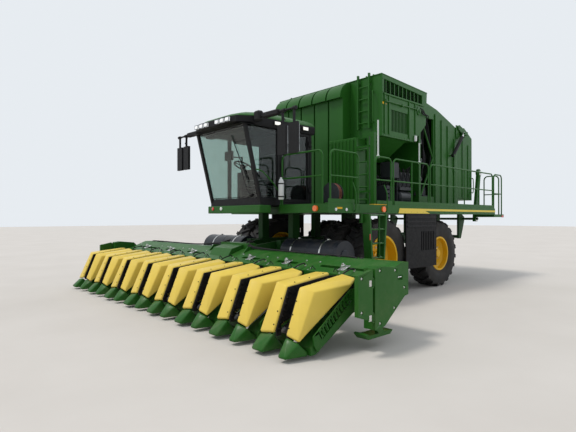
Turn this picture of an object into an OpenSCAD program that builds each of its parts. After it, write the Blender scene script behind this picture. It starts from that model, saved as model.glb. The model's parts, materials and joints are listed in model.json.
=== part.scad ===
// Cotton harvester with an eight-row header, a boxed accumulator and a round module chamber.
// +X points forward, +Y to the machine's left, +Z up, and the ground is at zero.
// Places are worked out from the rear axle, and place() moves them to the middle of the length.

/* [Running gear] */
// Distance from the rear axle to the front axle
wheelbase = 2600; // [2560:10:2640]
// Diameter of the front tyres over their lugs
front_tyre_d = 1720; // [1680:10:1740]
// Width of one front tyre
front_tyre_w = 500; // [460:10:520]
// Distance between the middles of a pair of front tyres
dual_pitch = 620; // [600:10:640]
// Middle of the outer front tyre from the centre line
front_track = 1930; // [1910:10:1950]
// Diameter of the rear tyres over their lugs
rear_tyre_d = 1660; // [1620:10:1680]
// Width of one rear tyre
rear_tyre_w = 500; // [460:10:510]
// Middle of a rear tyre from the centre line
rear_track = 1790; // [1780:10:1800]
// Kingpin of a rear wheel from the centre line
kingpin_y = 1440; // [1430:5:1445]

/* [Deck and cab] */
// Height of the walking deck
deck_z = 2000; // [1970:10:2050]
// Height of the deck's side board
fascia_h = 170; // [140:10:190]
// Outer edge of the deck from the centre line
deck_half = 2270; // [2255:5:2300]
// Height of the guard rails over the deck
rail_h = 1000; // [900:20:1100]
// Outer width of the cab
cab_w = 1760; // [1700:20:1800]
// Height of the cab from its floor to the underside of its roof
cab_h = 1500; // [1440:20:1560]
// Lean of the windscreen's top in front of its foot
cab_lean = 380; // [300:20:420]

/* [Cotton path] */
// Outer width of the accumulator
bin_w = 3480; // [3400:20:3500]
// Height of the accumulator's front top edge
bin_top = 5020; // [4950:10:5080]
// Height of the accumulator's floor
bin_floor = 3600; // [3550:10:3650]
// Number of air ducts that rise to the accumulator
duct_count = 5; // [4:1:5]
// Outer width of the module chamber
chamber_w = 3000; // [2900:20:3040]

/* [Header] */
// Distance between two crop rows
row_pitch = 1016; // [1000:4:1020]
// Number of row units
row_count = 8; // [6:2:8]
// Nose tips in front of the rear axle
nose_x = 7000; // [6950:10:7050]
// Outer width of one divider hood
hood_w = 300; // [280:5:310]
// Width of the throat between the two hoods of a row unit
throat_w = 230; // [200:5:240]

/* [Hidden] */
$fn = 48;
eps = 1;
slip = 0.05;

tail_x = -3320;
frame_x = -(nose_x + tail_x) / 2;
front_r = front_tyre_d / 2;
rear_r = rear_tyre_d / 2;
deck_under = deck_z - fascia_h;

rail_y = [450, 600];
rail_z = [1000, 1250];
rail_front = wheelbase + 1550;
bed_top = deck_under + 80;
bed_front = wheelbase + 300;
spindle_d = 140;
kingpin_d = 90;

lift_axis = [wheelbase + 1050, 1150];
lift_pin_d = 80;
lift_foot = [wheelbase + 420, 700];
lift_eye = [wheelbase + 1850, 800];
lift_cyl_y = 250;

cab_floor = deck_z + 50;
cab_front = wheelbase + 2350;
cab_back = wheelbase + 900;
cab_top = cab_floor + cab_h;
cab_wall = 60;
door_x = [cab_back + 70, cab_front - 530];
door_pin = [door_x[0] + 12, cab_w / 2 + 20];
door_levels = [cab_floor + 250, cab_top - 250];

bin_front = wheelbase - 500;
bin_back = 150;
bin_half = bin_w / 2;
chamber_half = chamber_w / 2;
chamber_front = bin_back - 10;
gate_x = -2000;
gate_axis = [-1990, 4360];
gate_foot = [-1500, 3500];
gate_eye = [-2150, 4200];
gate_cyl_y = chamber_half + 105;
eye_half = 35;
handler_axis = [-2850, 1700];
hitch = [-2800, 0, 1140];
hitch_d = 33;
screen_axis = [850, deck_z + 650];
skirt_y = max(deck_half, front_track + front_tyre_w / 2 + 90);
ladder_x = [wheelbase + 330, wheelbase + 900];
ladder_hinge = [ladder_x[1] + 70, skirt_y + 40, deck_under - 175];

beam_x = [wheelbase + 2200, wheelbase + 2900];
beam_top = 1090;
beam_half = row_pitch * row_count / 2 + 60;
end_y = beam_half + 180;
unit_back = beam_x[1] + 60;
end_seam = beam_x[1] + 368;

// Moves a piece laid out from the rear axle to the middle of the machine's length.
module place() { translate([frame_x, 0, 0]) children(); }

// A box between two corners, each axis given as [low, high].
module block(x, y, z) {
    translate([x[0], y[0], z[0]]) cube([x[1] - x[0], y[1] - y[0], z[1] - z[0]]);
}

// The same piece on both sides of the centre line.
module both() {
    children();
    mirror([0, 1, 0]) children();
}

// An outline in X and Z, as thick as the stretch y.
module side_plate(outline, y) {
    translate([0, y[1], 0]) rotate([90, 0, 0]) linear_extrude(y[1] - y[0]) polygon(outline);
}

// A round bar from point p to point q.
module bar(p, q, d) {
    run = q - p;
    length = norm(run);
    translate(p) rotate([0, acos(run[2] / length), atan2(run[1], run[0])])
        cylinder(h = length, d = d);
}

// A bent round tube through a list of points, with ball corners a little fatter than the tube.
module tube_run(points, d) {
    for (i = [0:len(points) - 2]) bar(points[i], points[i + 1], d);
    if (len(points) > 2) for (i = [1:len(points) - 2]) translate(points[i]) sphere(d = d + 6);
}

// A round bar across the machine at [x, z], over the stretch y.
module cross_bar(at, y, d) {
    translate([at[0], y[0], at[1]]) rotate([-90, 0, 0]) cylinder(h = y[1] - y[0], d = d);
}

// Turns a profile of [radius, y] points round a wheel's axle at [x, y, z].
module turned(at, outline) {
    translate(at) rotate([-90, 0, 0]) rotate_extrude($fn = 72) polygon(outline);
}

// Tyre of outer radius r and width w on a bead of radius bead.
module tyre(at, r, w, bead) {
    half = w / 2;
    seat = half - 50;
    turned(at, [[bead, -seat], [bead + 20, -seat], [bead + 110, -half + 8], [bead + 190, -half],
        [r - 90, -half + 5], [r - 45, -half + 20], [r, -half + 60], [r, half - 60],
        [r - 45, half - 20], [r - 90, half - 5], [bead + 190, half], [bead + 110, half - 8],
        [bead + 20, seat], [bead, seat]]);
}

// Dished rim with its disc at dish from the tyre's middle, open at the middle to radius hub.
module rim(at, w, bead, dish, hub) {
    seat = w / 2 - 50;
    turned(at, [[bead - 22, -seat - 18], [bead + 20, -seat - 18], [bead + 20, -seat], [bead, -seat],
        [bead, seat], [bead + 20, seat], [bead + 20, seat + 18], [bead - 22, seat + 18],
        [bead - 22, dish + 60], [bead - 90, dish + 10], [hub, dish + 10], [hub, dish - 12],
        [bead - 80, dish - 12], [bead - 22, dish + 25]]);
}

module main_frame() color("darkgreen") place() {
    foot = [-2600, 300, wheelbase - 800];
    both() {
        block([-2700, rail_front], rail_y, rail_z);
        for (x = foot) block([x, x + 200], rail_y, [rail_z[1] - eps, deck_under]);
        block([cab_back + 100, cab_back + 300], rail_y, [rail_z[1] - eps, cab_floor - 60]);
        cross_bar(lift_foot, [rail_y[0] - 260, rail_y[0] + eps], 50);
        block([lift_foot[0] - 80, lift_foot[0] + 80], [rail_y[0], rail_y[0] + 30],
            [lift_foot[1] - 60, rail_z[0] + eps]);
    }
}

module cross_members() color("darkgreen") place() {
    for (x = [-2700, -1400, 900, wheelbase - 700])
        block([x, x + 140], [-rail_y[0], rail_y[0]], [rail_z[0] + 20, rail_z[1] - 20]);
    cross_bar(lift_axis, [-rail_y[0], rail_y[0]], lift_pin_d);
    difference() {
        block([hitch[0] - 60, -2690], [-60, 60], [hitch[2] - 20, hitch[2] + 20]);
        translate([hitch[0], hitch[1], hitch[2] - 30]) cylinder(h = 60, d = hitch_d);
    }
}

// Tail beams outside the rails, their side plates and the handler's pivot bar.
module tail_frame() color("darkgreen") place() {
    cross_bar(handler_axis, [-1700, 1700], 70);
    both() {
        side_plate([[-2700, 1100], [-2560, 1100], [-2560, deck_under], [-2780, deck_under],
            [handler_axis[0] - 70, 1760], [handler_axis[0] - 70, 1640]], [1180, 1240]);
        block([-2690, -2570], [rail_y[1], 1181], [1110, 1200]);
    }
}

module floor_plate() color("darkgreen") place()
    block([-2700, bed_front], [-chamber_half, chamber_half], [deck_under, bed_top]);

module front_axle() color("darkgreen") place() {
    tube_d = 2 * (rail_z[0] - front_r);
    cross_bar([wheelbase, front_r], [-900, 900], tube_d);
    both() {
        block([wheelbase - 160, wheelbase + 160], rail_y, [front_r, rail_z[0]]);
        cross_bar([wheelbase, front_r], [840, 1060], 520);
        cross_bar([wheelbase, front_r], [1060 - eps, front_track + 60], spindle_d);
    }
}

module rear_axle() color("darkgreen") place() difference() {
    union() {
        block([-130, 130], [-kingpin_y + 90, kingpin_y - 90], [rear_r - 110, rear_r + 110]);
        both() translate([0, kingpin_y, rear_r - 110]) cylinder(h = 220, d = 220);
        both() block([-100, 100], rail_y, [rear_r + 110 - eps, rail_z[0]]);
    }
    both() translate([0, kingpin_y, 0]) cylinder(h = 2 * rear_r, d = kingpin_d + 2 * slip);
}

module engine() color("dimgray") place()
    block([250, 1450], [-500, 500], [bed_top, deck_z + 1150]);

module fuel_tank() color("#1d2326") place()
    block([wheelbase - 900, wheelbase + 250], [-2200, -1600], [deck_z, deck_z + 1000]);

// Front line of the cab at height z.
function lean(z) = cab_front + cab_lean * (z - cab_floor) / cab_h;

module cab_shell() color("darkgreen") place() {
    half = cab_w / 2;
    // floor, back wall and roof
    block([cab_back, cab_front], [-half, half], [cab_floor - 60, cab_floor]);
    block([cab_back, cab_back + cab_wall], [-half, half], [cab_floor - eps, cab_top + eps]);
    side_plate([[cab_back - 40, cab_top], [cab_front + cab_lean + 60, cab_top],
        [cab_front + cab_lean + 160, cab_top + 20], [cab_front + cab_lean + 160, cab_top + 160],
        [cab_front + cab_lean + 60, cab_top + 230], [cab_front - 200, cab_top + 330],
        [cab_back - 40, cab_top + 330]], [-half - 20, half + 20]);
    both() {
        // front pillars and the posts ahead of the door
        side_plate([[lean(cab_floor - eps) - 60, cab_floor - eps], [lean(cab_floor - eps), cab_floor - eps],
            [lean(cab_top + eps), cab_top + eps], [lean(cab_top + eps) - 60, cab_top + eps]],
            [half - 70, half]);
        block([door_x[1] + 10, door_x[1] + 70], [half - 70, half], [cab_floor - eps, cab_top + eps]);
    }
    // lugs and pins of the door
    for (z = door_levels) {
        translate([door_pin[0], door_pin[1], z - 16]) cylinder(h = 112, d = 14);
        for (level = [z - 16, z + 82]) {
            block([door_x[0] - 60, door_x[0] - 10], [half - eps, door_pin[1] + 12], [level, level + 14]);
            block([door_x[0] - 60, door_pin[0] + 12], [half + 5, door_pin[1] + 12], [level, level + 14]);
        }
    }
    mirror([0, 1, 0]) block([cab_back, cab_front - 10], [half - 60, half], [cab_floor - eps, cab_floor + 90]);
    block([door_x[1] + 40, cab_front - 10], [half - 60, half], [cab_floor - eps, cab_floor + 90]);
    block([cab_front - 60, cab_front], [-half + 50, half - 65], [cab_floor - eps, cab_floor + 90]);
}

module cab_glass() color("#35525acc") place() {
    half = cab_w / 2 - 30;
    slope = cab_lean / cab_h;
    // windscreen between the front pillars
    side_plate([[cab_front - 45 + 90 * slope, cab_floor + 90], [cab_front - 30 + 90 * slope, cab_floor + 90],
        [cab_front + cab_lean - 30, cab_top], [cab_front + cab_lean - 45, cab_top]], [-half - 10 + 50, half - 40]);
    // panes ahead of the posts, and the right pane behind its post
    both() side_plate([[door_x[1] + 70, cab_floor + 90], [cab_front - 60 + 90 * slope, cab_floor + 90],
        [cab_front + cab_lean - 60, cab_top], [door_x[1] + 70, cab_top]], [half - 8, half]);
    mirror([0, 1, 0])
        block([cab_back + cab_wall, door_x[1] + 10], [half - 8, half], [cab_floor + 90, cab_top]);
}

module cab_seat() color("#1b1c1e") place() {
    x = cab_back + 560;
    block([x - 60, x + 420], [-250, 250], [cab_floor + 380, cab_floor + 520]);
    side_plate([[x - 60, cab_floor + 519], [x + 60, cab_floor + 519], [x - 60, cab_floor + 1150],
        [x - 160, cab_floor + 1150]], [-240, 240]);
    block([x, x + 360], [-180, 180], [cab_floor, cab_floor + 381]);
}

module cab_controls() color("#232527") place() {
    x = cab_back + 560;
    // steering column and wheel
    bar([x + 757, 0, cab_floor + 20], [x + 640, 0, cab_floor + 800], 64);
    block([x + 700, x + 810], [-60, 60], [cab_floor, cab_floor + 60]);
    translate([x + 640, 0, cab_floor + 800]) rotate([0, -25, 0]) {
        rotate_extrude() translate([200, 0]) circle(d = 34);
        cylinder(h = 40, d = 120, center = true);
        for (a = [90, 210, 330]) rotate(a) bar([40, 0, 0], [198, 0, 0], 20);
    }
    // right-hand console, its post and the corner displays
    block([x - 60, x + 480], [-430, -290], [cab_floor, cab_floor + 700]);
    bar([x + 400, -360, cab_floor + 650], [x + 400, -360, cab_floor + 1060], 30);
    bar([x + 400, -360, cab_floor + 1040], [x + 610, -560, cab_floor + 1060], 26);
    block([x + 580, x + 640], [-700, -440], [cab_floor + 980, cab_floor + 1180]);
}

module cab_door() color("darkgreen") place() {
    half = cab_w / 2;
    low = cab_floor + 8;
    high = cab_top - 8;
    difference() {
        block(door_x, [half - 60, half], [low, high]);
        block([door_x[0] + 50, door_x[1] - 50], [half - 100, half + 100], [low + 60, high - 50]);
    }
    for (z = door_levels) difference() {
        union() {
            translate([door_pin[0], door_pin[1], z]) cylinder(h = 80, d = 30);
            block([door_pin[0], door_pin[0] + 30], [half - 10, door_pin[1] + 8], [z, z + 80]);
        }
        translate([door_pin[0], door_pin[1], z - 1]) cylinder(h = 82, d = 14 + 2 * slip);
    }
}

module door_glass() color("#35525acc") place() {
    half = cab_w / 2;
    block([door_x[0] + 50, door_x[1] - 50], [half - 38, half - 30], [cab_floor + 68, cab_top - 58]);
}

module deck() color("green") place() {
    inner = cab_w / 2 + 60;
    front = cab_front - 450;
    hinge = ladder_hinge;
    difference() {
        union() {
            block([bed_front, front], [inner, deck_half], [deck_under, deck_z]);
            block([-2700, bed_front + eps], [chamber_half, deck_half], [deck_under, deck_z]);
            block([bed_front, cab_back - 100], [-deck_half, inner + 10], [deck_under, deck_z]);
            block([tail_x, -2650], [1650, deck_half], [deck_under - 80, deck_z - 170]);
            block([-2700, bed_front + eps], [-deck_half, -chamber_half], [deck_under, deck_z]);
        }
        block([wheelbase - 2600, front - 60], [chamber_half + 60, deck_half - 60], [deck_under - 10, deck_z - 60]);
    }
    // lugs and pin of the boarding ladder
    for (z = [hinge[2] - 22, hinge[2] + 142])
        block([hinge[0] - 25, hinge[0] + 25], [deck_half - eps, hinge[1] + 25], [z, z + 20]);
    block([hinge[0] - 25, hinge[0] + 25], [deck_half - eps, skirt_y + 3], [hinge[2] - 22, deck_z - 20]);
    translate([hinge[0], hinge[1], hinge[2] - 22]) cylinder(h = 184, d = 30);
}

// Guard rail over the listed plan points, with a post at each point.
module guard(points, z, h) {
    for (p = points) translate([p[0], p[1], z]) cylinder(h = h + 21, d = 44);
    for (level = [h, h * 0.52], i = [0:len(points) - 2])
        bar([points[i][0], points[i][1], z + level], [points[i + 1][0], points[i + 1][1], z + level], 36);
}

module guard_rails() color("green") place() {
    y = deck_half - 50;
    front = cab_front - 480;
    guard([[front, cab_w / 2 + 120], [front, 1500], [front, y - 60], [front - 120, y], [front - 620, y]],
        deck_z, rail_h);
    guard([[wheelbase + 230, y], [wheelbase - 600, y], [1000, y], [0, y], [-1200, y], [-2640, y]],
        deck_z, rail_h);
    guard([[-2760, y], [tail_x + 40, y], [tail_x + 40, 1700]], deck_z - 170, rail_h + 170);
}

// Ladder of two stiles with rungs between, in a plane across the machine.
module ladder(x, y, z, pitch) {
    for (side = y) block([x - 25, x + 25], [side - 20, side + 20], z);
    for (level = [z[0] + pitch / 2:pitch:z[1] - 40])
        bar([x, y[0], level], [x, y[1], level], 30);
}

module fixed_ladders() color("green") place() {
    low = [bin_half - 390, bin_half - 50];
    high = [bin_half - 630, bin_half - 310];
    ladder(wheelbase - 80, low, [deck_z, bin_floor - 60], 280);
    ladder(bin_front + 60, high, [bin_floor + 200, bin_top + 60], 280);
    block([wheelbase - 120, wheelbase - 40], [bin_half + 20, bin_half + 120], [deck_z, bin_floor + 10]);
    for (z = [bin_floor + 260, bin_top - 160]) for (y = high)
        block([bin_front, bin_front + 50], [y - 20, y + 20], [z, z + 50]);
    for (z = [deck_z + 300, bin_floor - 300]) for (y = [low[0], chamber_half - 20])
        block([bin_front, wheelbase - 100], [y - 15, y + 15], [z, z + 40]);
    for (z = [deck_z + 300, bin_floor - 300])
        block([wheelbase - 100, wheelbase - 60], [low[0] - 10, bin_half + 60], [z, z + 40]);
}

module ducts() color("forestgreen") place() {
    width = 430;
    span = 2340;
    step = (span - width) / (duct_count - 1);
    bend = 400;
    low = bin_top - 440;
    for (i = [0:duct_count - 1]) let (y = step * i - chamber_half) {
        block([bin_front, bin_front + 300], [y, y + width], [bed_top, low]);
        // quarter-round elbow back into the accumulator
        difference() {
            translate([bin_front, y, low - eps]) rotate([-90, 0, 0]) cylinder(h = width, r = bend);
            block([bin_front - 500, bin_front + 500], [y - 1, y + width + 1], [low - 500, low - eps]);
            block([bin_front - 500, bin_front], [y - 1, y + width + 1], [low - 500, low + 500]);
        }
    }
}

module accumulator() color("green") place() {
    wall = 50;
    outline = [[bin_front, bin_top], [bin_back, bin_top - 90], [bin_back + 60, bin_floor + 500],
        [bin_back + 620, bin_floor], [bin_front, bin_floor]];
    inner = [[bin_front - wall, bin_top - wall - 5], [bin_back + wall, bin_top - 90 - wall],
        [bin_back + 60 + wall, bin_floor + 525], [bin_back + 650, bin_floor + wall],
        [bin_front - wall, bin_floor + wall]];
    difference() {
        side_plate(outline, [-bin_half, bin_half]);
        side_plate(inner, [-bin_half + wall, bin_half - wall]);
    }
    // lower chute down to the deck
    block([bin_back + 1350, bin_front], [-chamber_half, chamber_half], [bed_top, bin_floor + eps]);
}

module module_chamber() color("green") place() {
    wall = 60;
    outline = [[chamber_front, bed_top], [chamber_front, 4860], [-790, 4690], [gate_x, 4300],
        [gate_x, bed_top]];
    inner = [[chamber_front - wall, bed_top + wall], [chamber_front - wall, 4790], [-800, 4625],
        [gate_x - 10, 4230], [gate_x - 10, bed_top + wall]];
    difference() {
        side_plate(outline, [-chamber_half, chamber_half]);
        side_plate(inner, [-chamber_half + wall, chamber_half - wall]);
    }
    // ears and pin of the rear gate, and the feet of its cylinders
    both() {
        side_plate([[gate_x + 160, 4050], [gate_x + 160, 4420], [gate_x - 40, 4420], [gate_x - 1, 4200],
            [gate_x - 1, 4050]], [chamber_half + 6, chamber_half + 25]);
        block([gate_x + 20, gate_x + 150], [chamber_half - eps, chamber_half + 7], [4060, 4200]);
        cross_bar(gate_axis, [chamber_half + 6, chamber_half + 60], 60);
        cross_bar(gate_foot, [chamber_half - eps, gate_cyl_y + eye_half + 10], 50);
    }
}

module chamber_belts() color("#1c1c1d") place()
    for (i = [0:4]) let (y = -1200 + i * 480)
        block([chamber_front - 90, chamber_front - 60], [y, y + 420], [deck_z + 200, 4700]);

module side_panels() color("#2b2e31") place() both() {
    x = [rear_r - 180, wheelbase - 650];
    block(x, [skirt_y - 25, skirt_y + 5], [600, deck_under]);
    block(x, [deck_half - 60, skirt_y], [deck_under - 20, deck_under]);
}

module screen_box() color("green") place() difference() {
    block([250, 1450], [-deck_half + 20, -chamber_half - 5], [deck_z, deck_z + 1300]);
    translate([screen_axis[0], -deck_half + 140, screen_axis[1]]) rotate([90, 0, 0]) cylinder(h = 300, d = 1040);
    translate([screen_axis[0], 0, screen_axis[1]]) rotate([90, 0, 0]) cylinder(h = 3000, d = 60 + 2 * slip);
}

module rotary_screen() color("#3a3d40") place() {
    translate([screen_axis[0], -deck_half + 120, screen_axis[1]]) rotate([90, 0, 0]) cylinder(h = 90, d = 1000);
    translate([screen_axis[0], -deck_half + 400, screen_axis[1]]) rotate([90, 0, 0]) cylinder(h = 300, d = 60);
}

module air_drums() color("#22282f") place() both() {
    at = [wheelbase + 1400, 1010];
    cross_bar(at, [rail_y[1] + 120, deck_half - 20], 580);
    cross_bar(at, [rail_y[1], rail_y[1] + 121], 220);
}

module mirrors() color("#1e2022") place() both() {
    x = cab_front + 150;
    z = cab_top + 130;
    root = cab_w / 2 + 20;
    bar([x, root, z], [x, root + 1150, z], 40);
    for (y = [root + 780, root + 1080]) {
        block([x - 20, x + 20], [y + 20, y + 50], [z - 260, z]);
        block([x - 30, x + 25], [y - 90, y + 130], [z - 800, z - 250]);
    }
}

module work_lamps() color("whitesmoke") place()
    for (y = [-560, -330, 330, 560])
        translate([cab_front + cab_lean + 160, y, cab_top + 90]) rotate([0, 90, 0]) cylinder(h = 50, d = 110);

module marker_lamps() color("orange") place() {
    translate([cab_front - 450, deck_half - 300, deck_z - 90]) rotate([0, 90, 0]) cylinder(h = 40, d = 110);
    translate([wheelbase + 200, deck_half, deck_z - 90]) rotate([-90, 0, 0]) cylinder(h = 30, d = 120);
}

module stripes() color("gold") place()
    side_plate([[2250, deck_under], [2200, deck_z - 60], [-2700, deck_z - 60], [-2700, deck_z - 110],
        [1150, deck_z - 110], [950, deck_under]], [deck_half, deck_half + 6]);

module hose_reel() color("#20262b") place() {
    translate([cab_back - 220, 1350, deck_z + 240]) rotate([0, 90, 0]) difference() {
        cylinder(h = 120, d = 420);
        translate([0, 0, -1]) cylinder(h = 122, d = 160);
    }
    block([cab_back - 220, cab_back - 100], [1150, 1550], [deck_z, deck_z + 70]);
}

module boarding_ladder() color("green") place() {
    x = ladder_x;
    y = skirt_y + 12;
    hinge = ladder_hinge;
    for (side = x) side_plate([[side, 900], [side + 25, 900], [side + 25, deck_under - 20], [side, deck_under - 20]],
        [y, y + 180]);
    for (z = [930, 1210, 1490, 1770])
        block([x[0], x[1] + 25], [y, y + 170], [z, z + 30]);
    // hinge knuckle at the front stile
    difference() {
        union() {
            translate(hinge) cylinder(h = 140, d = 50);
            block([x[1] + 20, hinge[0]], [hinge[1] - 12, hinge[1] + 12], [hinge[2], hinge[2] + 140]);
        }
        translate([hinge[0], hinge[1], hinge[2] - 1]) cylinder(h = 142, d = 30 + 12 * slip);
    }
}

module header_beam() color("green") place() {
    side_plate([[beam_x[0], 620], [beam_x[1], 520], [beam_x[1], 900], [beam_x[0] + 200, beam_top],
        [beam_x[0], beam_top]], [-beam_half, beam_half]);
    block([beam_x[0] - 50, beam_x[0] + 150], [-500, 500], [700, beam_top + 120]);
}

// One divider hood; out is +1 or -1, the side of its flank.
module hood(row, out) {
    y_in = row + out * throat_w / 2;
    y_out = y_in + out * hood_w;
    nose_y = (y_in + y_out) / 2;
    points = [
        [nose_x - 180, y_in, 280], [nose_x - 180, nose_y + out * 70, 280],
        [nose_x - 400, y_in, 860], [nose_x - 440, y_out - out * 70, 830],
        [unit_back + 120, y_in, 970], [unit_back + 120, y_out - out * 40, 930],
        [unit_back + 120, y_out, 780], [unit_back + 120, y_in, 780],
        [nose_x - 260, y_out, 300]];
    faces = [[0, 1, 3, 2], [2, 3, 5, 4], [1, 8, 3], [3, 8, 6, 5], [4, 5, 6, 7], [0, 2, 4, 7],
        [0, 7, 6, 8], [0, 8, 1]];
    hull() polyhedron(points, out > 0 ? faces : [for (f = faces) [for (i = [len(f) - 1:-1:0]) f[i]]]);
}

module dividers() color("gold") place()
    for (k = [0:row_count - 1]) let (row = (k - (row_count - 1) / 2) * row_pitch) {
        hood(row, 1);
        hood(row, -1);
    }

module noses() color("green") place()
    for (k = [0:row_count - 1]) let (row = (k - (row_count - 1) / 2) * row_pitch)
        for (out = [-1, 1]) {
            y_in = row + out * throat_w / 2;
            y_out = y_in + out * hood_w;
            low = min(y_in, y_out);
            side_plate([[nose_x - 180, 80], [nose_x - 180, 279], [nose_x - 260, 279], [unit_back + 120, 779],
                [beam_x[1], 779], [beam_x[1], 540], [unit_back + 300, 260], [nose_x - 600, 80]],
                out > 0 ? [y_out - 40, y_out] : [y_out, y_out + 40]);
            side_plate([[nose_x, 84], [nose_x - 176, 276], [nose_x - 270, 276], [nose_x - 290, 84]],
                [low + 30, low + hood_w - 30]);
            side_plate([[nose_x - 265, 110], [nose_x - 300, 200], [unit_back + 120, 620], [beam_x[1], 620],
                [beam_x[1], 550], [unit_back + 320, 290]], [low + 8, low + hood_w - 8]);
        }

module brush_rolls() color("#17181a") place()
    for (k = [0:row_count - 1]) let (row = (k - (row_count - 1) / 2) * row_pitch)
        for (side = [-1, 1]) {
            bar([nose_x - 330, row + side * 57, 300], [beam_x[1] + 60, row + side * 57, 620], 110);
            bar([beam_x[1] + 100, row + side * 57, 611], [beam_x[1] - 40, row + side * 57, 642], 40);
        }

// Outline of an end box, behind the seam and in front of it.
end_back = [[end_seam - 758, 710], [end_seam - 728, 860], [end_seam - 538, 1060],
    [end_seam - 168, 1100], [end_seam - 18, 1080], [end_seam - 18, 300], [end_seam - 228, 320]];
end_front = [[end_seam + 30, 420], [end_seam + 30, 1078], [end_seam + 322, 1020], [end_seam + 322, 510]];
hinge_levels = [420, 860];

module header_ends() color("green") place() both() {
    y = end_y - 19;
    side_plate(end_back, [beam_half, end_y - 42]);
    side_plate(end_front, [end_y - 60, end_y]);
    block([end_seam - 168, end_seam + 60], [end_y - 58, end_y - 42], [460, 1060]);
    // pins and lugs of the end door
    for (z = hinge_levels) {
        translate([end_seam, y, z - 20]) cylinder(h = 130, d = 16);
        for (level = [z - 20, z + 97])
            block([end_seam - 10, end_seam + 31], [y - 12, y + 12], [level, level + 13]);
    }
}

module end_cover() {
    y = end_y - 19;
    difference() {
        union() {
            side_plate(end_back, [end_y - 38, end_y]);
            for (z = hinge_levels) {
                translate([end_seam, y, z]) cylinder(h = 90, d = 34);
                block([end_seam - 19, end_seam], [y - 12, y + 12], [z, z + 90]);
            }
        }
        for (z = hinge_levels) translate([end_seam, y, z - 30]) cylinder(h = 150, d = 16 + 2 * slip);
        for (z = hinge_levels) for (level = [z - 26, z + 90])
            block([end_seam - 20, end_seam + 40], [y - 40, y + 40], [level, level + 26]);
    }
}
module end_door_left() color("green") place() end_cover();
module end_door_right() color("green") place() mirror([0, 1, 0]) end_cover();

module lift_arms() color("darkgreen") place() difference() {
    union() {
        both() side_plate([[lift_axis[0] - 110, lift_axis[1] - 110], [lift_axis[0] + 60, lift_axis[1] - 160],
            [beam_x[0] - 50, 700], [beam_x[0] - 50, beam_top + 60], [lift_axis[0] + 300, lift_axis[1] + 90],
            [lift_axis[0] - 110, lift_axis[1] + 90]], [320, 420]);
        block([beam_x[0] - 300, beam_x[0] - 160], [-321, 321], [860, 1000]);
        both() for (side = [-1, 1]) let (y = lift_cyl_y + side * (eye_half + 20)) {
            side_plate([[lift_eye[0] - 60, lift_eye[1] - 60], [lift_eye[0] + 60, lift_eye[1] - 60],
                [beam_x[0] - 150, 900], [beam_x[0] - 310, 900]], [y - 13, y + 13]);
        }
    }
    cross_bar(lift_axis, [-500, 500], lift_pin_d + 2 * slip);
}

// Direction of a cylinder from its foot to its eye, both given as [x, z].
function reach(foot, eye) = norm(eye - foot);
function tilt(foot, eye) = atan2(eye[0] - foot[0], eye[1] - foot[1]);

module barrels(foot, eye, y, d, bore, length) {
    both() difference() {
        translate([foot[0], y, foot[1]]) rotate([0, tilt(foot, eye), 0]) {
            rotate([90, 0, 0]) cylinder(h = 70, d = d, center = true);
            cylinder(h = length, d = d);
        }
        cross_bar(foot, [y - 200, y + 200], 50 + 2 * slip);
        translate([foot[0], y, foot[1]]) rotate([0, tilt(foot, eye), 0])
            translate([0, 0, d * 0.7]) cylinder(h = length, d = bore + 2 * slip);
    }
}

module rods(foot, eye, y, d, pin, start) {
    length = reach(foot, eye);
    both() difference() {
        translate([foot[0], y, foot[1]]) rotate([0, tilt(foot, eye), 0]) {
            translate([0, 0, start]) cylinder(h = length - start - 40, d = d);
            translate([0, 0, length]) rotate([90, 0, 0]) cylinder(h = 2 * eye_half, d = 96, center = true);
        }
        cross_bar(eye, [y - 60, y + 60], pin);
    }
}

module lift_barrels() color("#202325") place()
    barrels(lift_foot, lift_eye, lift_cyl_y, 110, 60, 1150);
module lift_rods() color("silver") place()
    rods(lift_foot, lift_eye, lift_cyl_y, 60, 52, 400);

module front_tyres() {
    for (y = [front_track, front_track - dual_pitch])
        tyre([wheelbase, y, front_r], front_r, front_tyre_w, 480);
}
module front_rims() {
    rim([wheelbase, front_track, front_r], front_tyre_w, 480, -60, 150);
    rim([wheelbase, front_track - dual_pitch, front_r], front_tyre_w, 480, 60, 150);
    turned([wheelbase, 0, front_r], [[spindle_d / 2 + slip, front_track - dual_pitch - 60],
        [150 + eps, front_track - dual_pitch - 60], [150 + eps, front_track + 20],
        [spindle_d / 2 + slip, front_track + 20]]);
}
module front_tyres_left() color("#1f2022") place() front_tyres();
module front_tyres_right() color("#1f2022") place() mirror([0, 1, 0]) front_tyres();
module front_rims_left() color("gold") place() front_rims();
module front_rims_right() color("gold") place() mirror([0, 1, 0]) front_rims();

// Kingpin, yoke and spindle of a rear wheel.
module knuckle() {
    translate([0, kingpin_y, rear_r - 160]) cylinder(h = 320, d = kingpin_d);
    for (z = [rear_r - 160, rear_r + 120]) {
        translate([0, kingpin_y, z]) cylinder(h = 40, d = 220);
        block([-110, 110], [kingpin_y, kingpin_y + 170], [z, z + 40]);
    }
    block([-110, 110], [kingpin_y + 125, kingpin_y + 170], [rear_r - 160, rear_r + 160]);
    cross_bar([0, rear_r], [kingpin_y + 169, rear_track + 90], spindle_d);
}
module knuckle_left() color("darkgreen") place() knuckle();
module knuckle_right() color("darkgreen") place() mirror([0, 1, 0]) knuckle();

module rear_tyre() tyre([0, rear_track, rear_r], rear_r, rear_tyre_w, 405);
module rear_rim() {
    rim([0, rear_track, rear_r], rear_tyre_w, 405, 40, 150);
    turned([0, 0, rear_r], [[spindle_d / 2 + slip, rear_track - 60], [150 + eps, rear_track - 60],
        [150 + eps, rear_track + 80], [spindle_d / 2 + slip, rear_track + 80]]);
}
module rear_tyre_left() color("#1f2022") place() rear_tyre();
module rear_tyre_right() color("#1f2022") place() mirror([0, 1, 0]) rear_tyre();
module rear_rim_left() color("gold") place() rear_rim();
module rear_rim_right() color("gold") place() mirror([0, 1, 0]) rear_rim();

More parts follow.
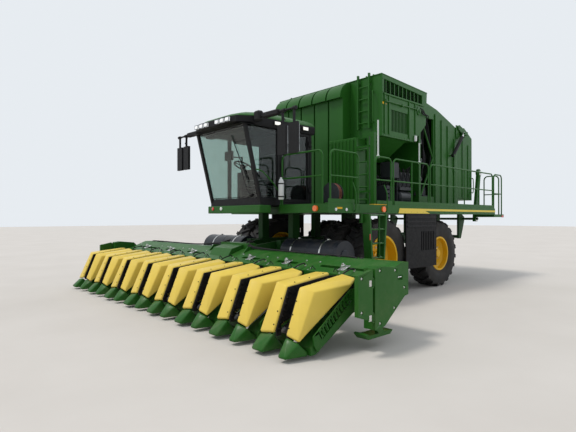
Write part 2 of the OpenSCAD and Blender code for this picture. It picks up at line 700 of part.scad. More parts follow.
module rear_gate() color("green") place() {
    wall = 60;
    outline = [[gate_x - 6, 4296], [-2380, 4410], [-2870, 4140], [-2870, 2260], [gate_x - 6, 2260]];
    inner = [[gate_x + 10, 4230], [-2380, 4340], [-2810, 4090], [-2810, 2320], [gate_x + 10, 2320]];
    difference() {
        side_plate(outline, [-chamber_half, chamber_half]);
        side_plate(inner, [-chamber_half + wall, chamber_half - wall]);
    }
    both() {
        // hinge arms outside the chamber's ears
        difference() {
            union() {
                cross_bar(gate_axis, [chamber_half + 30, chamber_half + 58], 150);
                side_plate([[gate_axis[0], gate_axis[1] + 70], [gate_x - 300, 4340], [gate_x - 300, 4100],
                    [gate_axis[0], gate_axis[1] - 70]], [chamber_half + 30, chamber_half + 58]);
            }
            cross_bar(gate_axis, [chamber_half, chamber_half + 100], 60 + 2 * slip);
        }
        block([gate_x - 290, gate_x - 170], [chamber_half - eps, chamber_half + 32], [4140, 4280]);
        // clevis of the gate's cylinder
        block([gate_eye[0] - 130, gate_eye[0] - 60], [chamber_half - eps, gate_cyl_y + eye_half + 25],
            [gate_eye[1] - 50, gate_eye[1] + 50]);
        for (side = [-1, 1]) let (y = gate_cyl_y + side * (eye_half + 16))
            block([gate_eye[0] - 61, gate_eye[0] + 45], [y - 9, y + 9],
                [gate_eye[1] - 50, gate_eye[1] + 50]);
    }
}

module gate_barrels() color("#202325") place()
    barrels(gate_foot, gate_eye, gate_cyl_y, 96, 56, 800);
module gate_rods() color("silver") place()
    rods(gate_foot, gate_eye, gate_cyl_y, 56, 50, 300);

module module_handler() color("green") place() {
    x = handler_axis[0];
    z = handler_axis[1];
    both() difference() {
        side_plate([[x - 80, z - 80], [x + 70, z - 80], [x + 70, z + 80], [x - 180, z + 1480],
            [x - 330, z + 1480]], [chamber_half + 70, chamber_half + 150]);
        cross_bar(handler_axis, [chamber_half, chamber_half + 300], 70 + 2 * slip);
    }
    cross_bar([x - 130, z + 180], [-chamber_half - 80, chamber_half + 80], 90);
}

main_frame();
cross_members();
tail_frame();
floor_plate();
front_axle();
rear_axle();
engine();
fuel_tank();
cab_shell();
cab_glass();
cab_seat();
cab_controls();
deck();
guard_rails();
fixed_ladders();
ducts();
accumulator();
module_chamber();
chamber_belts();
side_panels();
screen_box();
air_drums();
mirrors();
work_lamps();
marker_lamps();
stripes();
hose_reel();
rotary_screen();
cab_door();
door_glass();
boarding_ladder();
header_beam();
dividers();
noses();
brush_rolls();
header_ends();
end_door_left();
end_door_right();
lift_arms();
lift_barrels();
lift_rods();
front_tyres_left();
front_rims_left();
front_tyres_right();
front_rims_right();
knuckle_left();
knuckle_right();
rear_tyre_left();
rear_rim_left();
rear_tyre_right();
rear_rim_right();
rear_gate();
gate_barrels();
gate_rods();
module_handler();
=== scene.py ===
"""Looks of the cotton harvester: materials, camera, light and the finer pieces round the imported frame."""

import json
import math
import random
from itertools import product

import bmesh
import bpy
from mathutils import Matrix, Vector


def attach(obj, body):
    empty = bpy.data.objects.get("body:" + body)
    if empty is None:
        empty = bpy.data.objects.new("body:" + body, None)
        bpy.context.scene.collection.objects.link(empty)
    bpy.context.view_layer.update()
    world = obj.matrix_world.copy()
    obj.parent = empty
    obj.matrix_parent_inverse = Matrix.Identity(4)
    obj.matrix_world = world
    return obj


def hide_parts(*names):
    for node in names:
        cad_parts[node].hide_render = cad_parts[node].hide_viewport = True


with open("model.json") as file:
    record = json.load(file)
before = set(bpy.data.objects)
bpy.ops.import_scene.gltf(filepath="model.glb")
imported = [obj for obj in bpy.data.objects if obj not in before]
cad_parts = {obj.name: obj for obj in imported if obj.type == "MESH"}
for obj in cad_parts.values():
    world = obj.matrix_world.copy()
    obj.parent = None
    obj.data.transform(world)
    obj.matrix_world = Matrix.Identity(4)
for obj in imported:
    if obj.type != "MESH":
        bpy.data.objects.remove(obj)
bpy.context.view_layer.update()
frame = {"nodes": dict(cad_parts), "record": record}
rng = random.Random(7)
scene = bpy.context.scene

SHIFT = -1.84  # the frame's X minus the distance in front of the rear axle
UP, FRONT, LEFT = Vector((0, 0, 1)), Vector((1, 0, 0)), Vector((0, 1, 0))
BOTH = (1, -1)


def at(x, y, z):
    """A point given as metres in front of the rear axle, to the left and above the ground."""
    return Vector((x + SHIFT, y, z))


def spot(p):
    """The place of a point given as three numbers. A Vector is a place already."""
    return p if isinstance(p, Vector) else at(*p)


# camera and light


def look(yaw, pitch, roll):
    """Turn of a camera that looks along yaw and pitch, in degrees."""
    y, p = math.radians(yaw), math.radians(pitch)
    ahead = Vector((math.cos(y) * math.cos(p), math.sin(y) * math.cos(p), math.sin(p)))
    return ahead.to_track_quat("-Z", "Y").to_matrix().to_4x4() @ Matrix.Rotation(math.radians(roll), 4, "Z")


lens = bpy.data.cameras.new("photo_view")
lens.sensor_width = 36
lens.lens = 27.884
lens.clip_start = 0.05
lens.clip_end = 200
camera = bpy.data.objects.new("photo_view", lens)
camera.matrix_world = Matrix.Translation(at(10.5167, 7.7322, 1.7376)) @ look(227.34537, 0.209, -0.024)
scene.collection.objects.link(camera)
scene.camera = camera
scene.view_settings.view_transform = "Standard"


class Nodes:
    """The node tree of a world or a material, with short calls."""

    def __init__(self, owner):
        owner.use_nodes = True
        self.tree = owner.node_tree
        self.tree.nodes.clear()

    def put(self, node, inputs):
        """Links or sets inputs given by number, or by name with _ for a space."""
        for key, value in inputs.items():
            socket = node.inputs[key.replace("_", " ") if isinstance(key, str) else key]
            if isinstance(value, bpy.types.NodeSocket):
                self.tree.links.new(value, socket)
            else:
                socket.default_value = value
        return node

    def new(self, kind, **inputs):
        return self.put(self.tree.nodes.new(kind), inputs)

    def math(self, kind, a, b):
        n = self.new("ShaderNodeMath")
        n.operation = kind
        return self.put(n, {0: a, 1: b}).outputs[0]


world = bpy.data.worlds.new("studio")
scene.world = world
air = Nodes(world)
# the pale backdrop is seen directly, in mirrors and through glass; the fill lights the rest
rays = air.new("ShaderNodeLightPath").outputs
seen = rays["Is Camera Ray"]
for kind in ("Is Transmission Ray", "Is Glossy Ray"):
    seen = air.math("MAXIMUM", seen, rays[kind])
fill = air.new("ShaderNodeBackground", Color=(0.84, 0.9, 1, 1), Strength=0.8)
backdrop = air.new("ShaderNodeBackground", Color=(0.8, 0.84, 0.88, 1), Strength=1)
shared = air.put(air.new("ShaderNodeMixShader"), {0: seen, 1: fill.outputs[0], 2: backdrop.outputs[0]})
air.new("ShaderNodeOutputWorld", Surface=shared.outputs[0])

for name, yaw, pitch, strength, spread, color in (
    ("key", 150, -62, 1.7, 12, (1, 0.97, 0.92)),
    ("rim", 330, -30, 0.35, 40, (0.9, 0.95, 1)),
):
    lamp = bpy.data.lights.new(name, "SUN")
    lamp.energy = strength
    lamp.angle = math.radians(spread)
    lamp.color = color
    holder = bpy.data.objects.new(name, lamp)
    holder.matrix_world = look(yaw, pitch, 0)
    scene.collection.objects.link(holder)

# materials

DUST = (0.36, 0.28, 0.19)


class Surface(Nodes):
    """A material with one shader."""

    def __init__(self, name):
        self.mat = bpy.data.materials.new(name)
        super().__init__(self.mat)
        self.shader = self.new("ShaderNodeBsdfPrincipled")
        self.new("ShaderNodeOutputMaterial", Surface=self.shader.outputs[0])
        self.place = self.new("ShaderNodeTexCoord").outputs

    def set(self, **inputs):
        self.put(self.shader, inputs)

    def noise(self, scale, detail=3, rough=0.55, stretch=(1, 1, 1)):
        m = self.new("ShaderNodeMapping", Scale=stretch, Vector=self.place["Object"])
        n = self.new("ShaderNodeTexNoise", Scale=scale, Detail=detail, Roughness=rough, Vector=m.outputs[0])
        return n.outputs["Fac"]

    def span(self, value, low, high, to_low=0, to_high=1):
        n = self.new("ShaderNodeMapRange", Value=value, From_Min=low, From_Max=high, To_Min=to_low, To_Max=to_high)
        return n.outputs[0]

    def times(self, a, b):
        return self.math("MULTIPLY", a, b)

    def mix(self, fac, a, b):
        """Mixes two colours."""
        n = self.new("ShaderNodeMix")
        n.data_type = "RGBA"
        a, b = ((*v, 1) if isinstance(v, tuple) else v for v in (a, b))
        return self.put(n, {0: fac, 6: a, 7: b}).outputs[2]

    def uneven(self, value, edge, color, shade):
        """A colour that falls to a darker shade where the value is low."""
        return self.mix(self.span(value, edge, 1 - edge), tuple(c * shade for c in color), color)

    def dusted(self, base, grime, up, low, top, dust):
        """Dust on what looks up and near the ground. Gives back how much lies where."""
        above, beneath = self.along_z("Normal", 0.55, 0.95), self.along_z("Object", 0, top, 1, 0)
        where = self.math("ADD", self.times(above, up), self.times(beneath, low))
        amount = self.times(self.times(grime, where), dust)
        self.set(Base_Color=self.mix(amount, base, DUST))
        return amount

    def bump(self, height, strength, distance):
        n = self.new("ShaderNodeBump", Strength=strength, Distance=distance, Height=height)
        self.set(Normal=n.outputs[0])

    def along_z(self, kind, *spans):
        """How far a face looks up, or a point lies up, brought between two ends."""
        return self.span(self.new("ShaderNodeSeparateXYZ", Vector=self.place[kind]).outputs["Z"], *spans)


def paint(name, color, rough=0.42, coat=0.05, dust=0.16, shade=0.86):
    """Sprayed paint: a faint orange peel, uneven shade and dust."""
    n = Surface(name)
    base = n.uneven(n.noise(0.9, 4), 0.35, color, shade)
    amount = n.dusted(base, n.span(n.noise(5, 6, 0.65), 0.45, 0.8), 0.55, 0.8, 1.3, dust)
    wear = n.span(n.noise(14, 5, 0.6), 0.3, 0.7, rough - 0.06, rough + 0.1)
    n.set(Roughness=n.math("ADD", wear, n.times(amount, 0.5)),
          Coat_Weight=coat, Coat_Roughness=0.15, Specular_IOR_Level=0.2)
    n.bump(n.noise(160, 2), 0.06, 0.002)
    return n.mat


def moulded(name, color, rough=0.5, grain=420, dust=0.3, shade=0.8, bump=0.12):
    """Moulded plastic or rubber: fine grain, soft sheen and some dust."""
    n = Surface(name)
    base = n.uneven(n.noise(1.7, 5), 0.3, color, shade)
    n.dusted(base, n.span(n.noise(7, 6, 0.7), 0.42, 0.8), 0.5, 0.7, 1, dust)
    n.set(Roughness=n.span(n.noise(20, 4), 0.3, 0.7, rough - 0.07, rough + 0.09), Specular_IOR_Level=0.2)
    n.bump(n.noise(grain, 2), bump, 0.0015)
    return n.mat


def tyre_rubber():
    """Rubber with scuffed lugs and earth held in the tread."""
    n = Surface("tyre_rubber")
    earth = n.span(n.noise(3, 8, 0.7), 0.38, 0.72)
    n.set(Base_Color=n.mix(n.times(earth, 0.5), (0.011, 0.011, 0.012), (0.06, 0.05, 0.038)),
          Roughness=n.span(n.noise(12, 5), 0.3, 0.7, 0.72, 0.92))
    n.bump(n.noise(90, 5, 0.7), 0.35, 0.004)
    return n.mat


def metal(name, color, rough, scale=60):
    """Bare or plated metal with faint streaks."""
    n = Surface(name)
    streak = n.noise(scale, 4, 0.6)
    n.set(Base_Color=n.uneven(streak, 0.3, color, 0.82), Roughness=n.span(streak, 0.3, 0.7, rough, rough + 0.12),
          Metallic=1)
    n.bump(streak, 0.05, 0.001)
    return n.mat


def pane(name, tint):
    """Tinted safety glass with the faintest waviness and a film of dust."""
    n = Surface(name)
    film = n.span(n.noise(4, 6, 0.7), 0.45, 0.8, 0, 0.1)
    n.set(Base_Color=n.mix(film, tint, DUST), Roughness=n.math("ADD", film, 0.015),
          Transmission_Weight=1, IOR=1.45)
    n.bump(n.noise(1.3, 2), 0.01, 0.01)
    return n.mat


def lens_of(name, color, glow=0):
    """A ribbed lens with a faint glow."""
    n = Surface(name)
    ribs = n.noise(60, 2, 0.5, (1, 5, 1))
    n.set(Base_Color=n.uneven(ribs, 0.35, color, 0.75), Roughness=0.12, Coat_Weight=0.8, Coat_Roughness=0.04,
          Emission_Color=(*color, 1), Emission_Strength=glow)
    n.bump(ribs, 0.2, 0.002)
    return n.mat


def cloth(name, color):
    """Woven seat cloth."""
    n = Surface(name)
    weave = n.noise(900, 1)
    n.set(Base_Color=n.uneven(weave, 0.35, color, 0.6), Roughness=0.93, Sheen_Weight=0.35, Sheen_Roughness=0.5)
    n.bump(weave, 0.5, 0.001)
    return n.mat


MAT = {
    "green": paint("green_paint", (0.018, 0.108, 0.011)),
    "dark_green": paint("dark_green_paint", (0.01, 0.06, 0.008), 0.5, 0, 0.35),
    "yellow": paint("yellow_paint", (0.74, 0.42, 0.01), 0.36, dust=0.35),
    "yellow_plastic": moulded("yellow_plastic", (0.78, 0.57, 0.095), 0.42, 260, 0.2, 0.9, 0.05),
    "black": moulded("black_plastic", (0.01, 0.01, 0.011), 0.55),
    "dark_grey": paint("dark_grey_paint", (0.035, 0.038, 0.042), 0.42, 0.1, 0.5),
    "bristle": moulded("black_bristle", (0.01, 0.01, 0.01), 0.8, 700),
    "tyre": tyre_rubber(),
    "glass": pane("tinted_glass", (0.5, 0.62, 0.58)),
    "chrome": metal("chromed_rod", (0.8, 0.8, 0.82), 0.08, 25),
    "iron": paint("engine_iron", (0.05, 0.052, 0.053), 0.6, 0, 0.6),
    "amber": lens_of("amber_lens", (0.9, 0.16, 0.015), 0.15),
    "lamp": lens_of("clear_lens", (0.85, 0.88, 0.9), 0.25),
    "rubber": moulded("rubber", (0.02, 0.02, 0.021), 0.75, 200),
    "seat": cloth("seat_cloth", (0.03, 0.03, 0.034)),
    "zinc": metal("zinc_plated", (0.72, 0.72, 0.7), 0.22, 90),
    "drum": paint("drum_paint", (0.018, 0.022, 0.029), 0.35, 0.15, 0.4),
    "mirror": metal("mirror_glass", (0.86, 0.88, 0.9), 0.04, 3),
    "led": lens_of("lamp_glass", (0.95, 0.93, 0.85), 0.6),
    "display": lens_of("dark_display", (0.02, 0.025, 0.03)),
    "red": lens_of("red_lens", (0.55, 0.01, 0.01), 0.1),
    "white": paint("white_paint", (0.75, 0.76, 0.74), 0.4, 0.2, 0.3, 0.93),
    "panel": moulded("black_panel", (0.006, 0.006, 0.007), 0.6, dust=0.08),
    "pole": paint("pale_pole", (0.62, 0.66, 0.62), 0.4, 0.2, 0.2, 0.93),
    "stripe": paint("lemon_paint", (0.8, 0.6, 0.08), 0.4, dust=0.2, shade=0.93),
    "red_hose": moulded("red_brown_hose", (0.16, 0.055, 0.035), 0.6),
}
# the record's slot of each material that has another name than its slot
RECOLOURED = {"air_drums": "drum", "cab_door": "black", "stripes": "stripe"}
for row in frame["record"]["subparts"]:
    mesh = frame["nodes"][row["node"]].data
    mesh.materials.clear()
    mesh.materials.append(MAT[RECOLOURED.get(row["node"], row["material_slot"])])

# kits of forms


def make(name, mesh, mat=None):
    """An object in the scene for a mesh, given also as its points and faces."""
    if isinstance(mesh, tuple):
        points, faces = mesh
        mesh = bpy.data.meshes.new(name)
        mesh.from_pydata([tuple(p) for p in points], [], faces)
        mesh.update()
    obj = bpy.data.objects.new(name, mesh)
    scene.collection.objects.link(obj)
    if mat is not None:
        mesh.materials.append(mat)
    return obj


def face_out(mesh):
    """Turns all faces of closed forms outwards."""
    bm = bmesh.new()
    bm.from_mesh(mesh)
    bmesh.ops.recalc_face_normals(bm, faces=bm.faces)
    bm.to_mesh(mesh)
    bm.free()


def hand_over(obj, body, node=None, angle=None):
    """Shading, body and, where it stands for a node, the node of a piece."""
    obj.data.polygons.foreach_set("use_smooth", [True] * len(obj.data.polygons))
    if angle:
        obj.data.set_sharp_from_angle(angle=math.radians(angle))
    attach(obj, body)
    if node:
        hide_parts(node)


def skin(rows, n, ring=False):
    """Faces through rows of n points, joined as a ring or closed by flat ends."""
    faces = [] if ring else [list(range(n)), list(range(rows * n - 1, (rows - 1) * n - 1, -1))]
    for i in range(rows if ring else rows - 1):
        j = (i + 1) % rows
        faces += [[i * n + k, i * n + (k + 1) % n, j * n + (k + 1) % n, j * n + k] for k in range(n)]
    return faces


def circle(side, other, r, sides):
    """Points round a circle in the plane of two directions."""
    for k in range(sides):
        a = 2 * math.pi * k / sides
        yield (side * math.cos(a) + other * math.sin(a)) * r


def smooth(points, steps=6):
    """A smooth line through points."""
    pts = [spot(p) for p in points]
    full = [pts[0] * 2 - pts[1], *pts, pts[-1] * 2 - pts[-2]]
    line = []
    for i in range(1, len(full) - 2):
        a, b, c, d = full[i - 1 : i + 3]
        for k in range(steps):
            t = k / steps
            bend = (2 * a - 5 * b + 4 * c - d) * t * t + (3 * b - a - 3 * c + d) * t**3
            line.append(0.5 * (2 * b + (c - a) * t + bend))
    return [*line, pts[-1]]


def seat_on(p, axis):
    """A matrix with its Z along axis at the point p."""
    return Matrix.Translation(spot(p)) @ Vector(axis).to_track_quat("Z", "Y").to_matrix().to_4x4()


class Kit:
    """Gathers plates, tubes, rings and bolts that share a material into one piece."""

    named = []

    def __init__(self, name=None, mat=None, body="chassis", angle=35, slot=None, node=None):
        self.verts, self.faces = [], []
        self.name, self.mat, self.body, self.angle, self.slot, self.node = name, mat, body, angle, slot, node
        if name:
            Kit.named.append(self)

    def done(self):
        obj = make(self.name, (self.verts, self.faces), MAT[self.mat])
        face_out(obj.data)
        hand_over(obj, self.body, self.node, self.angle)

    def add(self, verts, faces):
        first = len(self.verts)
        self.verts += [tuple(v) for v in verts]
        self.faces += [[first + i for i in face] for face in faces]

    def layers(self, rings):
        """A skin through rings of places, one above the other."""
        self.add([p for ring in rings for p in ring], skin(len(rings), len(rings[0])))

    def slab(self, size, place, cut=0.003):
        """A box with its edges cut, at a point or put in place by a matrix."""
        if not isinstance(place, Matrix):
            place = Matrix.Translation(spot(place))
        half = [s / 2 for s in size]
        cut = min(cut, *(h * 0.6 for h in half))
        verts = [place @ Vector([c[i] * (half[i] - (0 if i == axis else cut)) for i in range(3)])
                 for c in product((-1, 1), repeat=3) for axis in range(3)]
        faces = [[k, k + 1, k + 2] for k in range(0, 24, 3)]
        for axis, u, w in ((0, 1, 2), (1, 0, 2), (2, 0, 1)):
            # from a corner's three points to those of the next corner along each direction
            on, by_u, by_w = (12 >> i for i in (axis, u, w))
            faces += [[axis + start + k for k in (0, by_u, by_u + by_w, by_w)] for start in (0, on)]
            faces += [[k + u, k + on + u, k + on + w, k + w] for k in (0, by_w, by_u, by_u + by_w)]
        self.add(verts, faces)

    def plate(self, low, high, cut=0.003):
        """A box between two corners with its edges cut."""
        a, b = at(*low), at(*high)
        self.slab([abs(b[i] - a[i]) for i in range(3)], Matrix.Translation((a + b) / 2), cut)

    def plates(self, cut, *boxes):
        """Boxes given as six numbers each."""
        for box in boxes:
            self.plate(box[:3], box[3:], cut)

    def side_plate(self, outline, y):
        """An outline in X and Z, as thick as the stretch y."""
        self.layers([[at(x, w, z) for x, z in outline] for w in y])

    def front_plate(self, outline, x):
        """An outline in Y and Z, as long as the stretch x."""
        self.layers([[at(u, y, z) for y, z in outline] for u in x])

    def tube(self, points, d, sides=8, closed=False):
        """A round tube along points."""
        pts = [spot(p) for p in points]
        n = len(pts)
        verts, side = [], None
        for i, p in enumerate(pts):
            ahead = pts[(i + 1) % n] if closed or i < n - 1 else p
            behind = pts[i - 1] if closed or i else p
            t = (ahead - behind).normalized()
            side = t.orthogonal().normalized() if side is None else (side - t * side.dot(t)).normalized()
            verts += [p + v for v in circle(side, t.cross(side), d / 2, sides)]
        self.add(verts, skin(n, sides, closed))

    def hose(self, points, d, steps=6, sides=8):
        """A tube along a smooth line."""
        self.tube(smooth(points, steps), d, sides)

    def turned(self, centre, axis, outline, sides=20, ring=False):
        """A profile of (radius, along) points turned round an axis, closed by flat ends or as a ring."""
        axis = Vector(axis).normalized()
        side = axis.orthogonal().normalized()
        verts = []
        for r, along in outline:
            verts += [spot(centre) + axis * along + v for v in circle(side, axis.cross(side), max(r, 2e-4), sides)]
        self.add(verts, skin(len(outline), sides, ring))

    def hoop(self, centre, axis, r, wide, out, sides):
        """A flat hoop or strap with its two long edges closed."""
        self.turned(centre, axis, [(r, -wide), (r + out, -wide), (r + out, wide), (r, wide)], sides)

    def bolt(self, p, axis, d):
        """A hexagon head on its washer, standing on the point p."""
        self.turned(p, axis, [(d * 0.75, -0.001), (d * 0.75, d * 0.1), (d * 0.3, d * 0.1)], 12)
        self.turned(p, axis, [(d * 0.5, d * 0.1), (d * 0.5, d * 0.42), (d * 0.4, d * 0.5)], 6)

    def bolt_ring(self, centre, axis, r, count, d):
        """Bolts on a circle round an axis along X or Y."""
        for v in circle(LEFT if axis.x else FRONT, UP, r, count):
            self.bolt(spot(centre) + v, axis, d)

    def hull(self, points, d):
        """The smallest skin round balls of diameter d."""
        bm = bmesh.new()
        for p in points:
            for b in BALL:
                bm.verts.new(at(*p) + b * d / 2)
        bmesh.ops.convex_hull(bm, input=bm.verts[:])
        bmesh.ops.delete(bm, geom=[v for v in bm.verts if not v.link_faces], context="VERTS")
        bm.verts.index_update()
        self.add([v.co for v in bm.verts], [[v.index for v in f.verts] for f in bm.faces])
        bm.free()


ball = bmesh.new()
bmesh.ops.create_icosphere(ball, subdivisions=2, radius=1)
BALL = [v.co.copy() for v in ball.verts]
ball.free()


def carve(name, node, cutters, mat, body="chassis"):
    """A copy of a node with openings cut in it, which stands for the node."""
    mesh = frame["nodes"][node].data.copy()
    bm = bmesh.new()
    bm.from_mesh(mesh)
    bmesh.ops.remove_doubles(bm, verts=bm.verts, dist=2e-5)
    bmesh.ops.dissolve_limit(bm, angle_limit=0.002, verts=bm.verts, edges=bm.edges)
    bm.to_mesh(mesh)
    bm.free()
    obj = make(name, mesh)
    tool = make(f"{name}_cutter", (cutters.verts, cutters.faces))
    face_out(tool.data)
    cut = obj.modifiers.new("openings", "BOOLEAN")
    cut.object = tool
    cut.solver = "EXACT"
    bpy.context.view_layer.update()
    done = bpy.data.meshes.new_from_object(obj.evaluated_get(bpy.context.evaluated_depsgraph_get()))
    obj.modifiers.clear()
    obj.data = done
    bpy.data.objects.remove(tool)
    done.materials.clear()
    done.materials.append(MAT[mat])
    hand_over(obj, body, node=node, angle=30)


# header: beam fittings, hood bolts, throat bristles, roll tips and hoses

ROWS = [(k - 3.5) * 1.016 for k in range(8)]
UNIT_SIDES = [(row, side) for row in ROWS for side in BOTH]
BEAM_FACE = Vector((0.19, 0, 0.5)).normalized()
LATCHES = [(side * middle, length) for middle, length in ((3.33, 0.9), (2.06, 0.46), (1.04, 0.46)) for side in BOTH]
HOOD_LINE = [(6.785, 0.3), (6.57, 0.83), (5.78, 0.925)]  # the throat edge of a hood
ROLL_TIP, ROLL_ROOT, ROLL_Y = (6.67, 0.3), (5.56, 0.62), 0.057


def on_beam(x, y, lift=0):
    """A point on the beam's slanting face."""
    return at(x, y, 1.09 - (x - 5) * 0.38) + BEAM_FACE * lift


zinc = Kit("beam_nuts", "zinc", "header")
dots = Kit("hood_bolts", "black", "header")
dark = Kit("beam_fittings", "rubber", "header")
blades = Kit("throat_bristles", "bristle", "header", 180)
tips = Kit("roll_tips", "iron", "header")
lines = Kit("header_hoses", "rubber", "header")
for y, length in LATCHES:
    dark.slab((0.066, length + 0.03, 0.004), seat_on(on_beam(5.31, y, -0.036), BEAM_FACE), 0.001)
    zinc.slab((0.13, 0.17, 0.01), seat_on(on_beam(5.31, y, 0.005), BEAM_FACE))
    for lift, outline, sides in (
        (0.008, [(0.05, 0), (0.05, 0.012), (0.02, 0.012)], 24),
        (0.02, [(0.04, 0), (0.04, 0.03), (0.032, 0.036)], 6),
        (0.03, [(0.019, 0), (0.019, 0.045), (0.016, 0.05)], 12),
    ):
        zinc.turned(on_beam(5.31, y, lift), BEAM_FACE, outline, sides)
    for end in BOTH:
        for x in (5.2, 5.42):
            zinc.bolt(on_beam(x, y + end * (length / 2 + 0.14)), BEAM_FACE, 0.026)
for row in ROWS:
    # hose from the beam to the unit's gearbox
    start, end = on_beam(5.36, row + 0.02), at(5.62, row + 0.02, 0.8)
    dark.hose([start, start + UP * 0.04 + FRONT * 0.05, end + UP * 0.13, end], 0.022)
    zinc.turned(start, UP, [(0.02, -0.01), (0.02, 0.02), (0.012, 0.02)], 6)
for row, side in UNIT_SIDES:
    # lug of each unit's latch, a triangular loop
    base = on_beam(5.44, row + side * 0.27)
    dark.tube([base + LEFT * -0.05, base + BEAM_FACE * 0.06, base + LEFT * 0.05], 0.014, 6)
    zinc.bolt(on_beam(5.47, row + side * 0.18), BEAM_FACE, 0.02)
    for k, shares, axis in ((0, (0.12, 0.42, 0.72), (0.927, 0, 0.376)), (1, (0.2, 0.55, 0.9), (0.12, 0, 0.993))):
        (x0, z0), (x1, z1) = HOOD_LINE[k : k + 2]
        for t in shares:
            p = at(x0 + (x1 - x0) * t, row + side * 0.143, z0 + (z1 - z0) * t)
            dots.bolt(p + Vector(axis) * 0.0285, axis, 0.013)
    for (x0, z0), (x1, z1), count, lean in (
        ((6.765, 0.31), (6.555, 0.815), 90, (0.02, -0.03)),
        ((6.555, 0.83), (5.8, 0.895), 110, (0.01, -0.045)),
    ):
        for i in range(count):
            t = (i + rng.random()) / count
            x, z = x0 + (x1 - x0) * t, z0 + (z1 - z0) * t - 0.012 - 0.05 * rng.random()
            root = at(x, row + side * 0.088, z)
            tip = (lean[0] + rng.uniform(-0.012, 0.012), -side * rng.uniform(0.035, 0.06), lean[1])
            across = Vector((0.0022, 0, 0.0022))
            blades.add([root - across, root + across, root + Vector(tip)], [[0, 1, 2]])
    run = Vector((ROLL_TIP[0] - ROLL_ROOT[0], 0, ROLL_TIP[1] - ROLL_ROOT[1]))
    tips.turned((ROLL_TIP[0], row + side * ROLL_Y, ROLL_TIP[1]), run,
                [(0.045, -0.004), (0.04, 0.02), (0.022, 0.05), (0.01, 0.06)], 16)
for i, (y, z) in enumerate(((0.36, 1.17), (0.4, 1.13), (0.44, 1.16), (-0.38, 1.16), (-0.42, 1.13))):
    way = 1 if y > 0 else -1
    lines.hose([(4.77, y, z + 0.09), (4.9, y + way * 0.02, z + 0.06), (4.96, y + way * 0.3, 1.13 + 0.01 * i),
                (4.93, y + way * 1.2, 1.115), (4.9, y + way * (2 + 0.3 * i), 1.108),
                (4.93, y + way * (2.25 + 0.3 * i), 1.085)], 0.026, 8)

# row units: hoods, nose caps, flank plates, throat linings and rolls

# balls of a hull: X, share of the hood's width out from the throat, height
HOODS = {
    1: [(6.785, 0, 0.3), (6.765, 0.6, 0.262), (6.57, 0, 0.83), (6.51, 0.62, 0.795), (5.78, 0, 0.925),
        (5.79, 0.8, 0.9), (5.93, 1, 0.845), (5.93, 0, 0.845)],
    -1: [(6.785, 0, 0.3), (6.785, 0.9, 0.265), (6.564, 0, 0.822), (6.525, 0.85, 0.845), (5.78, 0, 0.925),
         (5.78, 0.9, 0.915), (5.93, 1, 0.845), (5.93, 0, 0.845)],
}
CAPS = {
    1: [(6.95, 0.12, 0.075), (6.94, 0.45, 0.075), (6.814, 0, 0.228), (6.795, 0.6, 0.19), (6.67, 0, 0.075),
        (6.67, 0.7, 0.075)],
    -1: [(6.95, 0.12, 0.075), (6.95, 0.8, 0.075), (6.814, 0, 0.228), (6.81, 0.88, 0.195), (6.67, 0, 0.075),
         (6.67, 0.95, 0.075)],
}
# outlines in X and Z
WEB = [(6.6405, 0.055), (6.55, 0.06), (5.84, 0.46), (5.5, 0.54), (5.5, 0.7), (5.56, 0.7), (6.58, 0.2),
       (6.6405, 0.14)]
MARGINS = (
    [(6.63, 0.292), (6.62, 0.19), (6.55, 0.09), (5.84, 0.56), (5.5, 0.6), (5.5, 0.66), (5.88, 0.655), (6.48, 0.225)],
    [(6.63, 0.292), (6.48, 0.225), (6.44, 0.275), (6.56, 0.335)],
    [(5.5, 0.66), (5.88, 0.655), (5.92, 0.7), (5.88, 0.76), (5.93, 0.795), (5.5, 0.795)],
    [(6.63, 0.292), (6.555, 0.305), (5.92, 0.745), (5.93, 0.795)],
)
SLAT = [(-0.052, -0.033), (-0.028, -0.05), (0.03, 0.046), (0.006, 0.062)]
SLAT_LIP = [(-0.052, -0.033), (-0.04, -0.042), (0.018, 0.054), (0.006, 0.062)]
THROAT = [(6.775, 0.235), (6.785, 0.3), (6.57, 0.83), (5.78, 0.915), (5.505, 0.89), (5.505, 0.715), (6.7, 0.385),
          (6.7, 0.235)]
BRISTLE_BAR = [(-0.012, -0.008), (-0.018, 0.008), (-0.07, -0.013), (-0.064, -0.029)]


def moved(outline, x, z):
    """The outline at another place."""
    return [(x + dx, z + dz) for dx, dz in outline]


